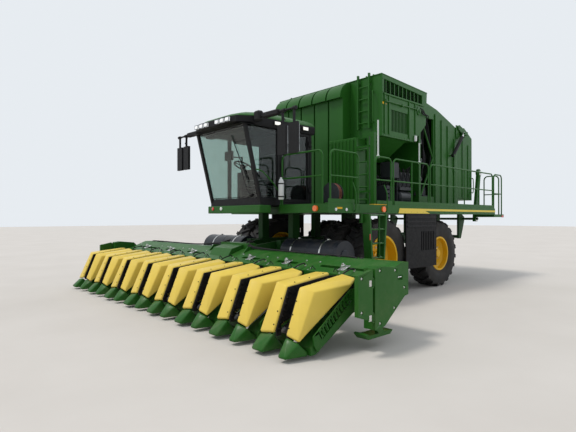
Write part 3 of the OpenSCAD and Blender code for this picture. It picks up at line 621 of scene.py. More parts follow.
hoods = Kit("hood_shells", "yellow_plastic", "header", 30, node="dividers")
noses = Kit("nose_caps", "green", "header", 30, node="noses")
flanks = Kit("flank_plates", "green", "header")
linings = Kit("throat_linings", "bristle", "header")
rolls = Kit("stripper_rolls", "bristle", "header", node="brush_rolls")
for row, side in UNIT_SIDES:
    for kit, balls in ((hoods, HOODS), (noses, CAPS)):
        kit.hull([(x, row + side * (0.145 + share * 0.24), z) for x, share, z in balls[side]], 0.06)
    flanks.side_plate(WEB, (row + side * 0.116, row + side * 0.376))
    outer = (row + side * 0.395, row + side * 0.411)
    for outline in MARGINS:
        flanks.side_plate(outline, outer)
    for i in range(11):
        x, z = 6.52 - 0.056 * (i + 0.02), 0.29 + 0.04 * (i + 0.02)
        flanks.side_plate(moved(SLAT, x, z), outer)
        flanks.side_plate(moved(SLAT_LIP, x, z), (outer[1], outer[1] + side * 0.008))
    linings.side_plate(THROAT, (row + side * 0.09, row + side * 0.1155))
    for i in range(7):
        t = (i + 0.4) / 7
        linings.side_plate(moved(BRISTLE_BAR, 6.785 - 0.215 * t, 0.3 + 0.53 * t),
                           (row + side * 0.074, row + side * 0.091))
    # roll with six bats, and its shaft
    y = row + side * ROLL_Y
    start, end = at(ROLL_TIP[0], y, ROLL_TIP[1]), at(ROLL_ROOT[0], y, ROLL_ROOT[1])
    run = (end - start).normalized()
    across = run.orthogonal().normalized()
    other = run.cross(across)
    ring = []
    for bat in range(6):
        for turn, r in ((-26, 0.034), (-10, 0.055), (10, 0.055), (26, 0.034)):
            a = math.radians(60 * bat + turn)
            ring.append((across * math.cos(a) + other * math.sin(a)) * r)
    rolls.layers([[p + v for v in ring] for p in (start, end)])
    rolls.tube([(5.6, y, 0.609), (5.46, y, 0.649)], 0.04, 12)

# beam with its slots, centre box, stiffeners and skids
slots = Kit()
for y, length in LATCHES:
    ends = []
    for end in BOTH:
        for k in range(9):
            a = math.radians(end * -90 + 22.5 * k)
            ends.append(LEFT * (y + end * length / 2 + 0.035 * math.cos(a))
                        + BEAM_FACE.cross(LEFT) * 0.035 * math.sin(a))
    slots.layers([[on_beam(5.31, 0, lift) + v for v in ends] for lift in (0.03, -0.04)])
carve("slotted_beam", "header_beam", slots, "green", "header")
beam_extra = Kit("beam_boxes_and_skids", "green", "header")
beam_extra.side_plate([(4.949, 0.9), (5.38, 0.9), (5.24, 1.11), (4.949, 1.18)], (-0.33, 0.33))
for side in BOTH:
    for outline, y0, y1 in (
        ([(4.9, 1), (5.25, 0.95), (5.06, 1.15), (4.9, 1.15)], 0.6, 0.625),
        ([(5.29, 0.2), (5.34, 0.15), (5.83, 0.15), (5.9, 0.22), (5.87, 0.235), (5.8, 0.2), (5.36, 0.2)],
         3.994, 4.184),
        ([(5.46, 0.195), (5.6, 0.195), (5.74, 0.33), (5.58, 0.33)], 4.126, 4.182),
    ):
        beam_extra.side_plate(outline, (side * y0, side * y1))

# wheels: tyres with lugs in two slanting rows, nuts and hub caps


def tyre(kit, x, y, r, bead, half=0.25):
    """A tyre round an axle that is as high as its radius."""
    base = r - 0.045
    seat = half - 0.05
    wall = [(bead + 0.02, seat), (bead + 0.11, half - 0.008), (bead + 0.19, half), (base - 0.05, half - 0.003),
            (base - 0.012, half - 0.022), (base, half - 0.06)]
    inner = [(a, -b) for a, b in wall]
    kit.turned((x, y, r), LEFT, [(bead, -seat), *inner, *wall[::-1], (bead, seat), (bead, 0)], 72, ring=True)
    for i in range(20):
        for side in BOTH:
            middle = 2 * math.pi * (i + (0.5 if side < 0 else 0)) / 20
            rings = []
            for k in range(9):
                w = -0.008 + (half + 0.002) * k / 8
                high = 0.042 - 0.122 * max(w, 0) / (half + 0.02)
                shoulder = w - half + 0.06
                low = -0.14 * max(w, 0) / (half - 0.06) if shoulder < 0 else -0.14 - 0.04 * shoulder / 0.08
                top = r - max(0, w - (half - 0.04)) * 0.9
                foot = base - (0.03 if w < half - 0.03 else 0.1)
                corners = ((high - 0.004, top), (low + 0.004, top), (low - 0.006, foot), (high + 0.006, foot))
                turns = ((middle + along / r, radius) for along, radius in corners)
                rings.append([at(x, y, r) + Vector((math.sin(a) * d, side * w, math.cos(a) * d)) for a, d in turns])
            kit.layers(rings)


for tyres, wheels, x, places, r, bead, dish, reach, ring in (
    ("front_tyres", "front_wheels", 2.6, (1.93, 1.31), 0.86, 0.48, 1.88, 0.075, 0.24),
    ("rear_tyre", "rear_wheel", 0, (1.79,), 0.83, 0.405, 1.84, 0.045, 0.23),
):
    for hand, side in (("left", 1), ("right", -1)):
        body = f"{wheels}_{hand}"
        rubber = Kit(f"{tyres}_{hand}_lugged", "tyre", body, 40, node=f"{tyres}_{hand}")
        for y in places:
            tyre(rubber, x, side * y, r, bead)
        nuts, hub = Kit(f"{body}_nuts", "zinc", body), Kit(f"{body}_hub", "yellow", body)
        nuts.bolt_ring((x, side * dish, r), LEFT * side, ring, 10, 0.036)
        hub.turned((x, side * (dish + reach), r), LEFT * side,
                   [(0.145, 0), (0.145, 0.03), (0.1, 0.05), (0.1, 0.075), (0.085, 0.09), (0.02, 0.095)], 40)
        nuts.bolt_ring((x, side * (dish + reach + 0.036), r), LEFT * side, 0.122, 8, 0.016)

# end boxes: bolts, latch and hinge leaves let into the plates
FLUSH = 4.294  # bottom of the wells
WELL = [(0.026, 0), (0.026, 0.02)]
for side, hand in ((1, "left"), (-1, "right")):
    body = f"end_cover_{hand}"
    fit, wells = Kit(f"{body}_bolts", "zinc", body), Kit()
    for x, z in ((5.18, 0.78), (5.4, 1.03), (5.74, 1.05), (5.74, 0.37), (5.42, 0.53)):
        wells.turned((x, side * FLUSH, z), LEFT * side, WELL)
        fit.bolt((x, side * (FLUSH - 0.001), z), LEFT * side, 0.02)
    wells.plate((5.23, side * 4.28, 0.89), (5.35, side * 4.32, 0.97))
    fit.tube([(x, side * y, 0.93) for x, y in ((5.25, 4.279), (5.25, 4.294), (5.33, 4.294), (5.33, 4.279))], 0.014)
    carve(f"{body}_plate", f"end_door_{hand}", wells, "green", body)
caps, wells = Kit("end_box_hinges", "zinc", "header"), Kit()
for side in BOTH:
    low, high = side * (FLUSH - 0.001), side * (FLUSH + 0.003)
    for z in (0.465, 0.905):
        wells.plate((5.906, side * FLUSH, z - 0.042), (5.972, side * 4.32, z + 0.042))
        caps.plate((5.909, low, z - 0.039), (5.969, high, z + 0.039), 0.0005)
        for x in (5.924, 5.953):
            for dz in (-0.022, 0.022):
                caps.bolt((x, high, z + dz), LEFT * side, 0.013)
    for z in (0.56, 0.98):
        wells.turned((6.12, side * FLUSH, z), LEFT * side, WELL)
        caps.bolt((6.12, low, z), LEFT * side, 0.02)
carve("end_box_plates", "header_ends", wells, "green", "header")

# cab: black shell under a lamp band, green roof cap and sill
LAMPS_Y = (-0.56, -0.38, -0.2, 0.2, 0.38, 0.56)
above = Kit()
above.plate((3.3, -1.2, 3.556), (5.7, 1.2, 4.1), 0)
carve("cab_frame", "cab_shell", above, "black")


def roof(half, front, z, back=0):
    """The cab roof's outline at one height, with its front corners cut off."""
    side = [(3.44 + back, half), (front - 0.33, half), (front - 0.06, half - 0.18), (front, half - 0.43)]
    return [at(x, -y, z) for x, y in side] + [at(x, y, z) for x, y in side[::-1]]


band, cap = Kit("lamp_band", "black"), Kit("roof_cap", "green", angle=25)
band.layers([roof(0.9, 5.4, 3.552), roof(0.92, 5.49, 3.6), roof(0.92, 5.49, 3.72)])
cap.layers([roof(0.91, 5.43, 3.722), roof(0.905, 5.41, 3.75), roof(0.86, 5.33, 3.8, 0.02),
            roof(0.74, 5.12, 3.865, 0.06), roof(0.62, 4.95, 3.88, 0.12)])
for y in (-0.42, 0, 0.42):
    cap.slab((1.2, 0.16, 0.02), (4.3, y, 3.884), 0.008)
cap.slab((0.3, 0.5, 0.04), (3.75, 0, 3.89), 0.012)
lamps = Kit("band_lamps", "lamp", node="work_lamps")
for y in LAMPS_Y:
    lamps.plate((5.49, y - 0.06, 3.615), (5.53, y + 0.06, 3.695), 0.004)
sill = Kit("sill_and_toe_boards", "green")
sill.plate((4.71, -0.93, 1.83), (5, 0.93, 1.99), 0.012)
for x0, x1 in ((3.71, 4.47), (2.44, 2.99), (-2.64, 2.36)):
    sill.plate((x0, 2.244, 2), (x1, 2.252, 2.09), 0.002)

# guard rails: round-cornered hoops with a middle bar
RAIL_Y = 2.22


def guard(kit, p, q, z, h, shares=()):
    """A hoop between two points of the plan, with posts at shares of its length."""
    p, q = Vector((*p, 0)), Vector((*q, 0))
    run = (q - p).normalized()

    def post(e, along, level):
        return at(e.x + run.x * along, e.y + run.y * along, z + level)

    line = [post(p, 0, 0), post(p, 0, h - 0.12)]
    for end, way, angles in ((p, 1, range(15, 91, 15)), (q, -1, range(75, -1, -15))):
        for a in angles:
            c, s = math.cos(math.radians(a)), math.sin(math.radians(a))
            line.append(post(end, way * 0.12 * (1 - c), h - 0.12 + 0.12 * s))
    kit.tube([*line, post(q, 0, 0)], 0.036, 10)
    kit.tube([post(p, 0, h * 0.52), post(q, 0, h * 0.52)], 0.03, 10)
    for t in shares:
        e = p + (q - p) * t
        kit.tube([post(e, 0, 0), post(e, 0, h)], 0.03, 10)


rails = Kit("hooped_rails", "green", node="guard_rails")
guard(rails, (4.47, 1), (4.47, RAIL_Y - 0.11), 2, 1)
for x0, x1, shares in ((4.38, 3.56, ()), (3, 2.44, ()), (2.36, 0.92, (0.5,)), (0.84, -2.64, (0.25, 0.5, 0.75))):
    guard(rails, (x0, RAIL_Y), (x1, RAIL_Y), 2, 1, shares)
guard(rails, (-2.73, RAIL_Y), (-3.28, RAIL_Y), 1.83, 1.17)
guard(rails, (-3.28, RAIL_Y - 0.08), (-3.28, 1.7), 1.83, 1.17)

# boarding ladder: stringers that draw together, treads with grips, hand bar, hinge knuckle and reflector
TREADS_Z = (0.93, 1.21, 1.49, 1.77)
steps = Kit("ladder_steps", "green", "ladder", node="boarding_ladder")
grips = Kit("tread_grips", "zinc", "ladder")
for sign, x0, x1 in ((1, 2.93, 2.975), (-1, 3.525, 3.48)):
    steps.side_plate([(x0, 1.81), (x0 + sign * 0.08, 0.9), (x1 + sign * 0.08, 0.9), (x1, 1.81)], (2.282, 2.462))
for z in TREADS_Z:
    drift = 0.08 * (1.81 - z) / 0.91
    steps.plate((2.94 + drift, 2.287, z), (3.515 - drift, 2.452, z + 0.03), 0.004)
    for i in range(12):
        x = 2.98 + drift + (0.49 - 2 * drift) * (i + 0.5) / 12
        grips.slab((0.02, 0.12, 0.004), (x, 2.37, z + 0.0315), 0.001)
steps.hose([(3.2, 2.447, 0.945), (3.2, 2.462, 1.02), (3.19, 2.45, 1.4), (3.18, 2.447, 1.8)], 0.026, 5)
steps.turned((3.57, 2.31, 1.655), UP, [(0.0165, 0), (0.025, 0), (0.025, 0.14), (0.0165, 0.14)], 24)
steps.plate((3.52, 2.298, 1.655), (3.555, 2.322, 1.795), 0.002)
# the reflector takes the red lens material, whose faint glow is painted light here: a reflector gives no light of its
# own
flag = Kit("ladder_reflector", "red", "ladder")
flag.plate((3.488, 2.459, 1.3), (3.513, 2.466, 1.42), 0.002)

# side panels with slots and ribs
gaps, ribs = Kit(), Kit("panel_ribs", "black", slot="dark_grey")
for side in BOTH:
    for i in range(8):
        x = 0.77 + 0.075 * i
        gaps.plate((x, side * 2.235, 0.98), (x + 0.035, side * 2.285, 1.42), 0)
    for z in (1.52, 1.62, 1.72):
        ribs.plate((0.69, side * 2.274, z), (1.91, side * 2.288, z + 0.04), 0.006)
carve("slotted_panels", "side_panels", gaps, "panel")

# accumulator: open net bands and grilles, hopper and narrow chute
holes, bin_parts = Kit(), Kit("hopper_and_ribs", "green")
for side in BOTH:
    holes.side_plate([(0.38, 4.6), (2.01, 4.6), (2.01, 4.91), (0.38, 4.82)], (side * 1.66, side * 1.78))
    holes.side_plate([(1.04, 3.75), (1.74, 3.75), (1.74, 4.25), (1.04, 4.25)], (side * 1.66, side * 1.78))
    low, high = sorted((side * 1.706, side * 1.724))
    for i in range(9):
        x = 0.54 + 0.17 * i
        bin_parts.plate((x, low, 4.59), (x + 0.024, high, 4.83 + 0.05 * (x - 0.38)), 0.002)
    for i in range(11):
        x = 1.08 + 0.06 * i
        bin_parts.plate((x, low, 3.745), (x + 0.022, high + side * 0.002, 4.255), 0.002)
    low, high = sorted((side * 1.738, side * 1.762))
    for x in (1.97, 1.8, 0.96, 0.68):
        bin_parts.plate((x, low, 3.66 if x > 0.9 else 3.8), (x + 0.05, high, 4.55), 0.006)
    bin_parts.plate((0.35, low, 4.549), (2.04, high + side * 0.006, 4.59), 0.006)
holes.plate((1.4, -1.6, 1.8), (2.2, 1.6, 3.598), 0)
carve("open_accumulator", "accumulator", holes, "green")
for i in range(5):
    x = 1.85 - 0.35 * i
    z = 5.02 - 0.09 * (2.1 - x) / 1.95
    bin_parts.side_plate([(x, z - 0.006), (x - 0.06, z - 0.009), (x - 0.06, z + 0.018), (x, z + 0.018)], (-1.7, 1.7))
bin_parts.front_plate([(-1.68, 3.601), (-1, 3.12), (1, 3.12), (1.68, 3.601)], (1.02, 2.07))
bin_parts.side_plate([(1.5, 1.91), (1.5, 3.121), (2.06, 3.121), (2.06, 1.91)], (-0.98, 0.98))
duct_panel = Kit("ribbed_panel", "green")
duct_panel.plate((2.09, 0.44, 2.06), (2.45, 1.27, 3.58), 0.01)
for i in range(7):
    y = 0.5 + 0.11 * i
    duct_panel.plate((2.449, y, 2.1), (2.47, y + 0.045, 3.54), 0.008)

# module chamber: open bay with struts, wall and roof ribs, belts' rollers
BELTS_Z = (2.25, 2.75, 3.25, 3.75, 4.25)
bay_holes, chamber_parts = Kit(), Kit("chamber_struts", "green")
bay_holes.plate((-0.6, -1.56, 2.3), (0.05, 1.56, 4.4), 0)
carve("open_chamber", "module_chamber", bay_holes, "green")
rollers = Kit("belt_rollers", "zinc")
for side in BOTH:
    for z in (2.29, 4.41):
        chamber_parts.tube([(0.02, side * 1.468, z), (-0.61, side * 1.468, 3.35)], 0.05, 12)
    for x, z in ((-0.72, 4.56), (-1.06, 4.44), (-1.4, 4.33), (-1.78, 4.01)):
        chamber_parts.plate((x, side * 1.498, 2), (x + 0.06, side * 1.525, z), 0.006)
for i in range(5):
    t = 0.12 + 0.2 * i
    rib = moved([(0, -0.003), (-0.05, -0.019), (-0.05, 0.012), (0, 0.028)], -0.79 - 1.21 * t, 4.69 - 0.39 * t)
    chamber_parts.side_plate(rib, (-1.47, 1.47))
for z in BELTS_Z:
    rollers.turned((-0.02, 0, z), LEFT, [(0.075, -1.44), (0.075, 1.44)], 24)

# open engine, and the pumps, filters and tank beside it
PULLEY, ALTERNATOR = (0, 2.33), (0.25, 2.64)
FILTERS_X = (0.43, 0.62, 0.8)
block, pumps = Kit("open_engine", "iron", node="engine"), Kit("pump_stack", "dark_grey")
block.plate((0.3, -0.42, 2.15), (1.35, 0.42, 2.76), 0.02)
block.plates(0.03, (0.43, -0.3, 1.91, 1.23, 0.3, 2.152), (0.33, -0.25, 2.758, 1.32, 0.25, 2.93))
for i in range(6):
    x = 0.36 + 0.16 * i
    block.plate((x, -0.22, 2.925), (x + 0.11, 0.22, 2.97), 0.012)
    block.tube([(x + 0.04, 0.419, 2.64), (x + 0.04, 0.52, 2.64)], 0.07, 12)
for x, (y, z), outline, sides in (
    (1.349, PULLEY, [(0.31, 0), (0.31, 0.09), (0.25, 0.11)], 40),
    (0.211, PULLEY, [(0.17, 0), (0.17, 0.03), (0.16, 0.035), (0.16, 0.055), (0.17, 0.06), (0.17, 0.09)], 40),
    (0.221, ALTERNATOR, [(0.09, 0), (0.09, 0.08)], 28),
    (0.7, (0.56, 2.76),
     [(0.06, -0.04), (0.12, 0), (0.12, 0.09), (0.08, 0.1), (0.12, 0.12), (0.12, 0.2), (0.06, 0.24)], 28),
):
    block.turned((x, y, z), FRONT, outline, sides)
for p, q, d in (
    ((0.38, 0.52, 2.64), (1.24, 0.52, 2.64), 0.09),
    ((0.8, 0.56, 2.63), (0.8, 0.56, 2.7), 0.08),
    ((0.9, 0.56, 2.76), (1.18, 0.56, 2.76), 0.12),
):
    block.tube([p, q], d, 16)
pumps.plate((0.88, 1.06, 2.7), (1.24, 1.4, 3.12), 0.03)
for x in (0.93, 1.19):
    for y in (1.1, 1.36):
        pumps.tube([(x, y, 2), (x, y, 2.71)], 0.03, 8)
pumps.turned((0.33, 1.26, 2.26), FRONT, [(0.12, -0.02), (0.165, 0.02), (0.165, 0.48), (0.12, 0.52)], 32)
pumps.plates(0.004, (0.4, 1.12, 2, 0.44, 1.4, 2.2), (0.74, 1.12, 2, 0.78, 1.4, 2.2))
pumps.plates(0.01, (0.36, 1.25, 2.424, 0.87, 1.41, 2.521), (0.96, 1.15, 2.419, 1.18, 1.31, 2.52),
             (1.33, 1.09, 2, 1.46, 1.42, 2.52))
for x in FILTERS_X:
    pumps.turned((x, 1.33, 2.5), UP,
                 [(0.05, 0), (0.065, 0.02), (0.065, 0.33), (0.075, 0.335), (0.075, 0.37), (0.04, 0.39)], 24)
for x in (1.01, 1.13):
    pumps.turned((x, 1.23, 2), UP, [(0.055, 0), (0.055, 0.42)])
for z in (2.12, 2.22, 2.32, 2.42):
    pumps.tube([(1.395, 1.419, z), (1.395, 1.47, z)], 0.04, 10)

# gate: ribs, bolts and hand holds; handler: round heads and pins
gate_ribs, gate = Kit("gate_ribs", "green", "gate"), Kit("gate_fittings", "green", "gate")
heads, pins = Kit("handler_heads", "green", "handler"), Kit("handler_pins", "zinc", "handler")
for i in range(7):
    y = -1.3 + 0.4 * i
    gate_ribs.plate((-2.892, y, 2.33), (-2.868, y + 0.06, 4.08), 0.006)
for side in BOTH:
    for x, z in ((-2.3, 4.03), (-2.66, 3.92)):
        gate_ribs.plate((x, side * 1.498, 2.3), (x + 0.06, side * 1.52, z), 0.006)
    for z in (2.5, 3, 3.5, 4):
        gate.bolt((-2.866, side * 1.42, z), -FRONT, 0.03)
    gate.hose([(-2.84, side * 1.5, 2.5), (-2.84, side * 1.56, 2.52), (-2.84, side * 1.56, 2.9),
               (-2.84, side * 1.5, 2.92)], 0.026, 5)
    for i in range(14):
        gate.bolt((-2.03 - 0.06 * i, side * 1.5, 2.3), LEFT * side, 0.014)
    heads.turned((-3.09, side * 1.61, 3.1), LEFT, [(0.1, -0.046), (0.13, -0.03), (0.13, 0.03), (0.1, 0.046)], 32)
    for x, y, z in ((-3.09, 1.657, 3.1), (-2.85, 1.651, 1.7)):
        pins.turned((x, side * y, z), LEFT * side, [(0.07, 0), (0.07, 0.012), (0.03, 0.016)], 24)
        pins.bolt((x, side * 1.668, z), LEFT * side, 0.035)

# air drums: straps, seams and end fittings
DRUM = (4, 1.01)  # X and Z of the centre line


def on_drum(y):
    """A point on the drums' centre line."""
    return DRUM[0], y, DRUM[1]


straps, fittings = Kit("drum_straps", "zinc"), Kit("drum_seams", "drum")
for side in BOTH:
    for y in (1.03, 1.84):
        straps.hoop(on_drum(side * y), LEFT, 0.291, 0.016, 0.0035, 64)
        straps.slab((0.05, 0.04, 0.03), at(*on_drum(side * y)) + UP * 0.297)
    out = LEFT * side
    fittings.turned(on_drum(side * 2.249), out, [(0.12, 0), (0.12, 0.012), (0.09, 0.018), (0.03, 0.018)], 32)
    fittings.bolt_ring(on_drum(side * 2.261), out, 0.105, 6, 0.014)
    for y in (0.76, 1.45, 2.18):
        fittings.turned(on_drum(side * y), LEFT, [(0.2905, -0.006), (0.294, 0), (0.2905, 0.006)], 64)

# cab: seals, wiper, mirrors, lamps and inside
SLOPE = 0.38 / 1.5  # lean of the windscreen
GLASS_OUT = Vector((1, 0, -SLOPE)).normalized()
DISPLAYS = (((0.003, 0.22, 0.16), (4.6385, -0.57, 3.13)), ((0.003, 0.12, 0.08), (4.459, -0.36, 2.9)))


def on_screen(y, z, lift=0):
    """A point on the windscreen's outer face."""
    return at(4.92 + SLOPE * (z - 2.05), y, z) + GLASS_OUT * lift


seals, glazing = Kit("cab_seals", "rubber"), Kit("mirror_glass", "mirror")
seals.tube([on_screen(y, z, 0.003) for y, z in ((-0.8, 2.16), (0.8, 2.16), (0.8, 3.53), (-0.8, 3.53))], 0.022, 8, True)
front_pane = ((4.505, 2.16), (4.905, 2.16), (5.25, 3.53), (4.505, 3.53))
rear_pane = ((3.58, 2.16), (4.42, 2.16), (4.42, 3.53), (3.58, 3.53))
for y, line in ((0.853, front_pane), (-0.853, front_pane), (-0.853, rear_pane)):
    seals.tube([(x, y, z) for x, z in line], 0.018, 8, True)
# wiper: motor spindle, arm and blade
seals.turned(on_screen(0.62, 2.19), GLASS_OUT, [(0.03, 0), (0.03, 0.03), (0.018, 0.045)], 16)
seals.tube([on_screen(0.62, 2.19, 0.04), on_screen(0.55, 2.35, 0.045), on_screen(0.46, 2.9, 0.035)], 0.014, 6)
for lift, d, sides in ((0.018, 0.016, 6), (0.008, 0.007, 4)):
    seals.tube([on_screen(0.62, 2.45, lift), on_screen(0.36, 3.4, lift)], d, sides)
# mirror arm sleeves, corner blocks, joints and the glasses
for side in BOTH:
    seals.plate((5.045, side * 1.18, 3.63), (5.155, side * 1.62, 3.73), 0.02)
    seals.plate((5.03, side * 0.93, 3.6), (5.17, side * 1.1, 3.8), 0.03)
    for y in (1.735, 2.035):
        seals.turned((5.1, side * y, 3.68), LEFT, [(0.035, -0.035), (0.035, 0.035)], 16)
    seals.tube([(5.1, side * 1.66, 3.64), (5.1, side * 1.78, 3.5)], 0.02, 6)
    for y in (1.7, 2):
        for low, high in ((3.06, 3.4), (2.905, 3.03)):
            glazing.plate((5.0665, side * (y - 0.075), low), (5.0705, side * (y + 0.115), high), 0.002)

housings, lenses = Kit("lamp_bezels", "black"), Kit("lamp_lenses", "led")
for y in LAMPS_Y:
    for k in (-1, 0, 1):
        lenses.turned((5.5295, y + k * 0.036, 3.655), FRONT, [(0.0135, 0), (0.012, 0.003), (0.004, 0.004)], 16)
    rim = ((-0.06, 3.615), (0.06, 3.615), (0.06, 3.695), (-0.06, 3.695))
    housings.tube([(5.528, y + dy, z) for dy, z in rim], 0.011, 6, True)
for side in BOTH:
    for x in (4.55, 3.75):
        housings.plate((x - 0.09, side * 0.938, 3.6), (x + 0.09, side * 0.952, 3.69), 0.004)
        lenses.plate((x - 0.075, side * 0.951, 3.612), (x + 0.075, side * 0.956, 3.678), 0.004)

# seat suspension, armrests and joystick, sun visor, roof console, pedals and displays
inside, screens = Kit("cab_inside", "black"), Kit("cab_displays", "display")
inside.plates(0.01, (4.02, -0.22, 2.395, 4.46, 0.22, 2.43),
              *((4.06, -0.19, 2.08 + 0.065 * i, 4.42, 0.19, 2.115 + 0.065 * i) for i in range(5)))
inside.plates(0.02, (4.08, 0.245, 2.72, 4.44, 0.31, 2.775), (4.06, -0.33, 2.75, 4.52, -0.27, 2.8),
              (5.02, -0.72, 3.47, 5.2, 0.72, 3.54), (3.66, -0.78, 3.46, 4.4, 0.78, 3.54))
inside.hose([(4.46, -0.34, 2.75), (4.48, -0.34, 2.84), (4.5, -0.35, 2.9)], 0.045, 4, 10)
inside.tube([(4, 0.27, 2.5), (3.96, 0.27, 2.74), (4.1, 0.27, 2.745)], 0.035)
for y in (-0.14, 0.14, 0.24):
    inside.slab((0.1, 0.07, 0.015), seat_on((4.8, y, 2.13), (-0.5, 0, 0.85)))
for size, place in DISPLAYS:
    screens.slab(size, place, 0.001)


def cushion(name, size, place, crown, channels, node=None):
    """A stuffed pad: crowned face, bulged sides, and sewn channels across it."""
    bm = bmesh.new()
    bmesh.ops.create_grid(bm, x_segments=24, y_segments=24, size=0.5)
    top = bmesh.ops.extrude_face_region(bm, geom=bm.faces[:])["geom"]
    for v in top:
        if isinstance(v, bmesh.types.BMVert):
            v.co.z = 1
    bmesh.ops.recalc_face_normals(bm, faces=bm.faces)
    walls = [e for e in bm.edges if abs(e.verts[0].co.z - e.verts[1].co.z) > 0.5]
    bmesh.ops.subdivide_edges(bm, edges=walls, cuts=4)
    for v in bm.verts:
        u, w, h = v.co.x * 2, v.co.y * 2, v.co.z
        full = (1 - abs(u) ** 3.2) * (1 - abs(w) ** 3.2)
        groove = sum(math.exp(-((u + 1 - 2 * (k + 1) / (channels + 1)) ** 2) / 0.0035) for k in range(channels))
        puff = crown * max(full, 0) ** 0.5 + size[2] * 0.5 - crown * 0.55 * groove * min(1, 4 * (1 - abs(w)))
        bulge = (1 + 0.05 * math.sin(math.pi * h)) * (1 - 0.03 * abs(u * w) ** 2)
        v.co.x = u * size[0] / 2 * (1 + 0.02 * (1 - w * w)) * bulge
        v.co.y = w * size[1] / 2 * (1 + 0.02 * (1 - u * u)) * bulge
        v.co.z = (h - 0.5) * 2 * puff if h > 0.5 else (h - 0.5) * size[2]
    mesh = bpy.data.meshes.new(name)
    bm.to_mesh(mesh)
    bm.free()
    mesh.transform(place)
    obj = make(name, mesh, MAT["seat"])
    sub = obj.modifiers.new("rounding", "SUBSURF")
    sub.levels = sub.render_levels = 1
    hand_over(obj, "chassis", node=node)


cushion("seat_cushion", (0.46, 0.48, 0.11), Matrix.Translation(at(4.235, 0, 2.5)), 0.028, 3, "cab_seat")
lean_back = Matrix.Translation(at(3.985, 0, 2.86)) @ Matrix.Rotation(math.radians(81), 4, "Y")
cushion("seat_back", (0.6, 0.46, 0.09), lean_back, 0.026, 4)

# door: grab handle, latch and seal
door = Kit("door_fittings", "rubber", "door")
door.tube([(4.36, 0.88, 2.55), (4.36, 0.925, 2.58), (4.36, 0.925, 2.95), (4.36, 0.88, 2.98)], 0.024)
door.plate((4.375, 0.879, 2.7), (4.415, 0.9, 2.86), 0.006)
door.tube([(3.63, 0.857, 2.125), (4.36, 0.857, 2.125), (4.36, 0.857, 3.49), (3.63, 0.857, 3.49)], 0.018, 8, True)

# deck: tread strip, blank plates, lamps, bottle, whip poles and hand rails
FRONT_LAMP = [(0.04, 0), (0.04, 0.014), (0.03, 0.02)]
yellow, reds = Kit("yellow_plates", "yellow"), Kit("red_lamps", "red")
white, clamps = Kit("white_fittings", "white"), Kit("bottle_clamps", "black")
rods, grab = Kit("rail_poles", "pole"), Kit("hand_rails", "green")
yellow.plate((2.68, 2.16, 1.998), (3.12, 2.275, 2.012), 0.003)
yellow.plates(0.001, (4.1, 2.269, 1.9, 4.25, 2.273, 1.935), (2.02, 1.739, 4.33, 2.08, 1.743, 4.38),
              (1.93, 1.739, 4.33, 2, 1.743, 4.36))
reds.turned((4.999, -0.72, 1.93), FRONT, FRONT_LAMP)
reds.plates(0.001, (-3.29, 2.268, 1.74, -3.17, 2.276, 1.8), (-2.703, -2.02, 1.88, -2.697, -1.88, 1.94))
white.plate((0.7, 1.739, 3.62), (0.77, 1.79, 3.76), 0.01)
white.turned((4.999, -0.4, 1.93), FRONT, FRONT_LAMP)
for x in (4.28, 3.98):
    white.turned((x, 2.269, 1.89), LEFT, [(0.03, 0), (0.03, 0.008), (0.02, 0.013)], 16)
white.turned((4.54, 1.04, 2.1), UP,
             [(0.045, 0), (0.055, 0.02), (0.055, 0.36), (0.035, 0.41), (0.02, 0.42), (0.02, 0.46)])
for z in (2.16, 2.42):
    clamps.hoop((4.54, 1.04, z), UP, 0.057, 0.012, 0.002, 24)
    clamps.plate((4.462, 1, z - 0.012), (4.5, 1.03, z + 0.012), 0.002)
clamps.turned((4.54, 1.04, 2.55), UP, [(0.022, 0), (0.022, 0.03), (0.012, 0.035)], 12)
for x, top_z, d in ((2.88, 3.76, 0.034), (1.29, 3.46, 0.03)):
    rods.tube([(x, 2.2, 2.99), (x, 2.2, top_z)], d, 10)
    rods.turned((x, 2.2, 2.98), UP, [(0.03, 0), (0.03, 0.05), (0.02, 0.06)], 12)
for line in (
    [(4.485, 0.965, 2), (4.485, 0.965, 2.2), (4.62, 0.97, 2.36), (4.92, 0.96, 2.62), (5.05, 0.93, 2.68),
     (5.06, 0.875, 2.68)],
    [(2.09, 1.5, 3.96), (2.2, 1.56, 3.97), (2.2, 1.56, 4.6), (2.09, 1.5, 4.62)],
    *([(x, 2.268, 1.86), (x, 2.31, 1.9), (x, 2.31, 2.22), (x, 2.235, 2.42)] for x in (2.72, 3.75)),
):
    grab.hose(line, 0.026, 5)
for x in (4.47, 3.78, 2.92, 2.38, 1.98, 0.76, -1.2, -2.62):
    grab.turned((x, RAIL_Y, 2), UP, [(0.042, 0), (0.042, 0.012), (0.024, 0.016)], 16)

# raised tread on the deck: short slanting bars in pairs
tread = Kit("deck_tread", "dark_green")
for i in range(76):
    for j in range(7):
        turn = Matrix.Rotation(math.radians(45 if (i + j) % 2 else -45), 4, "Z")
        place = Matrix.Translation(at(4.4 - i * 0.09, 1.56 + j * 0.095, 2.0012))
        tread.slab((0.045, 0.01, 0.003), place @ turn, 0.001)

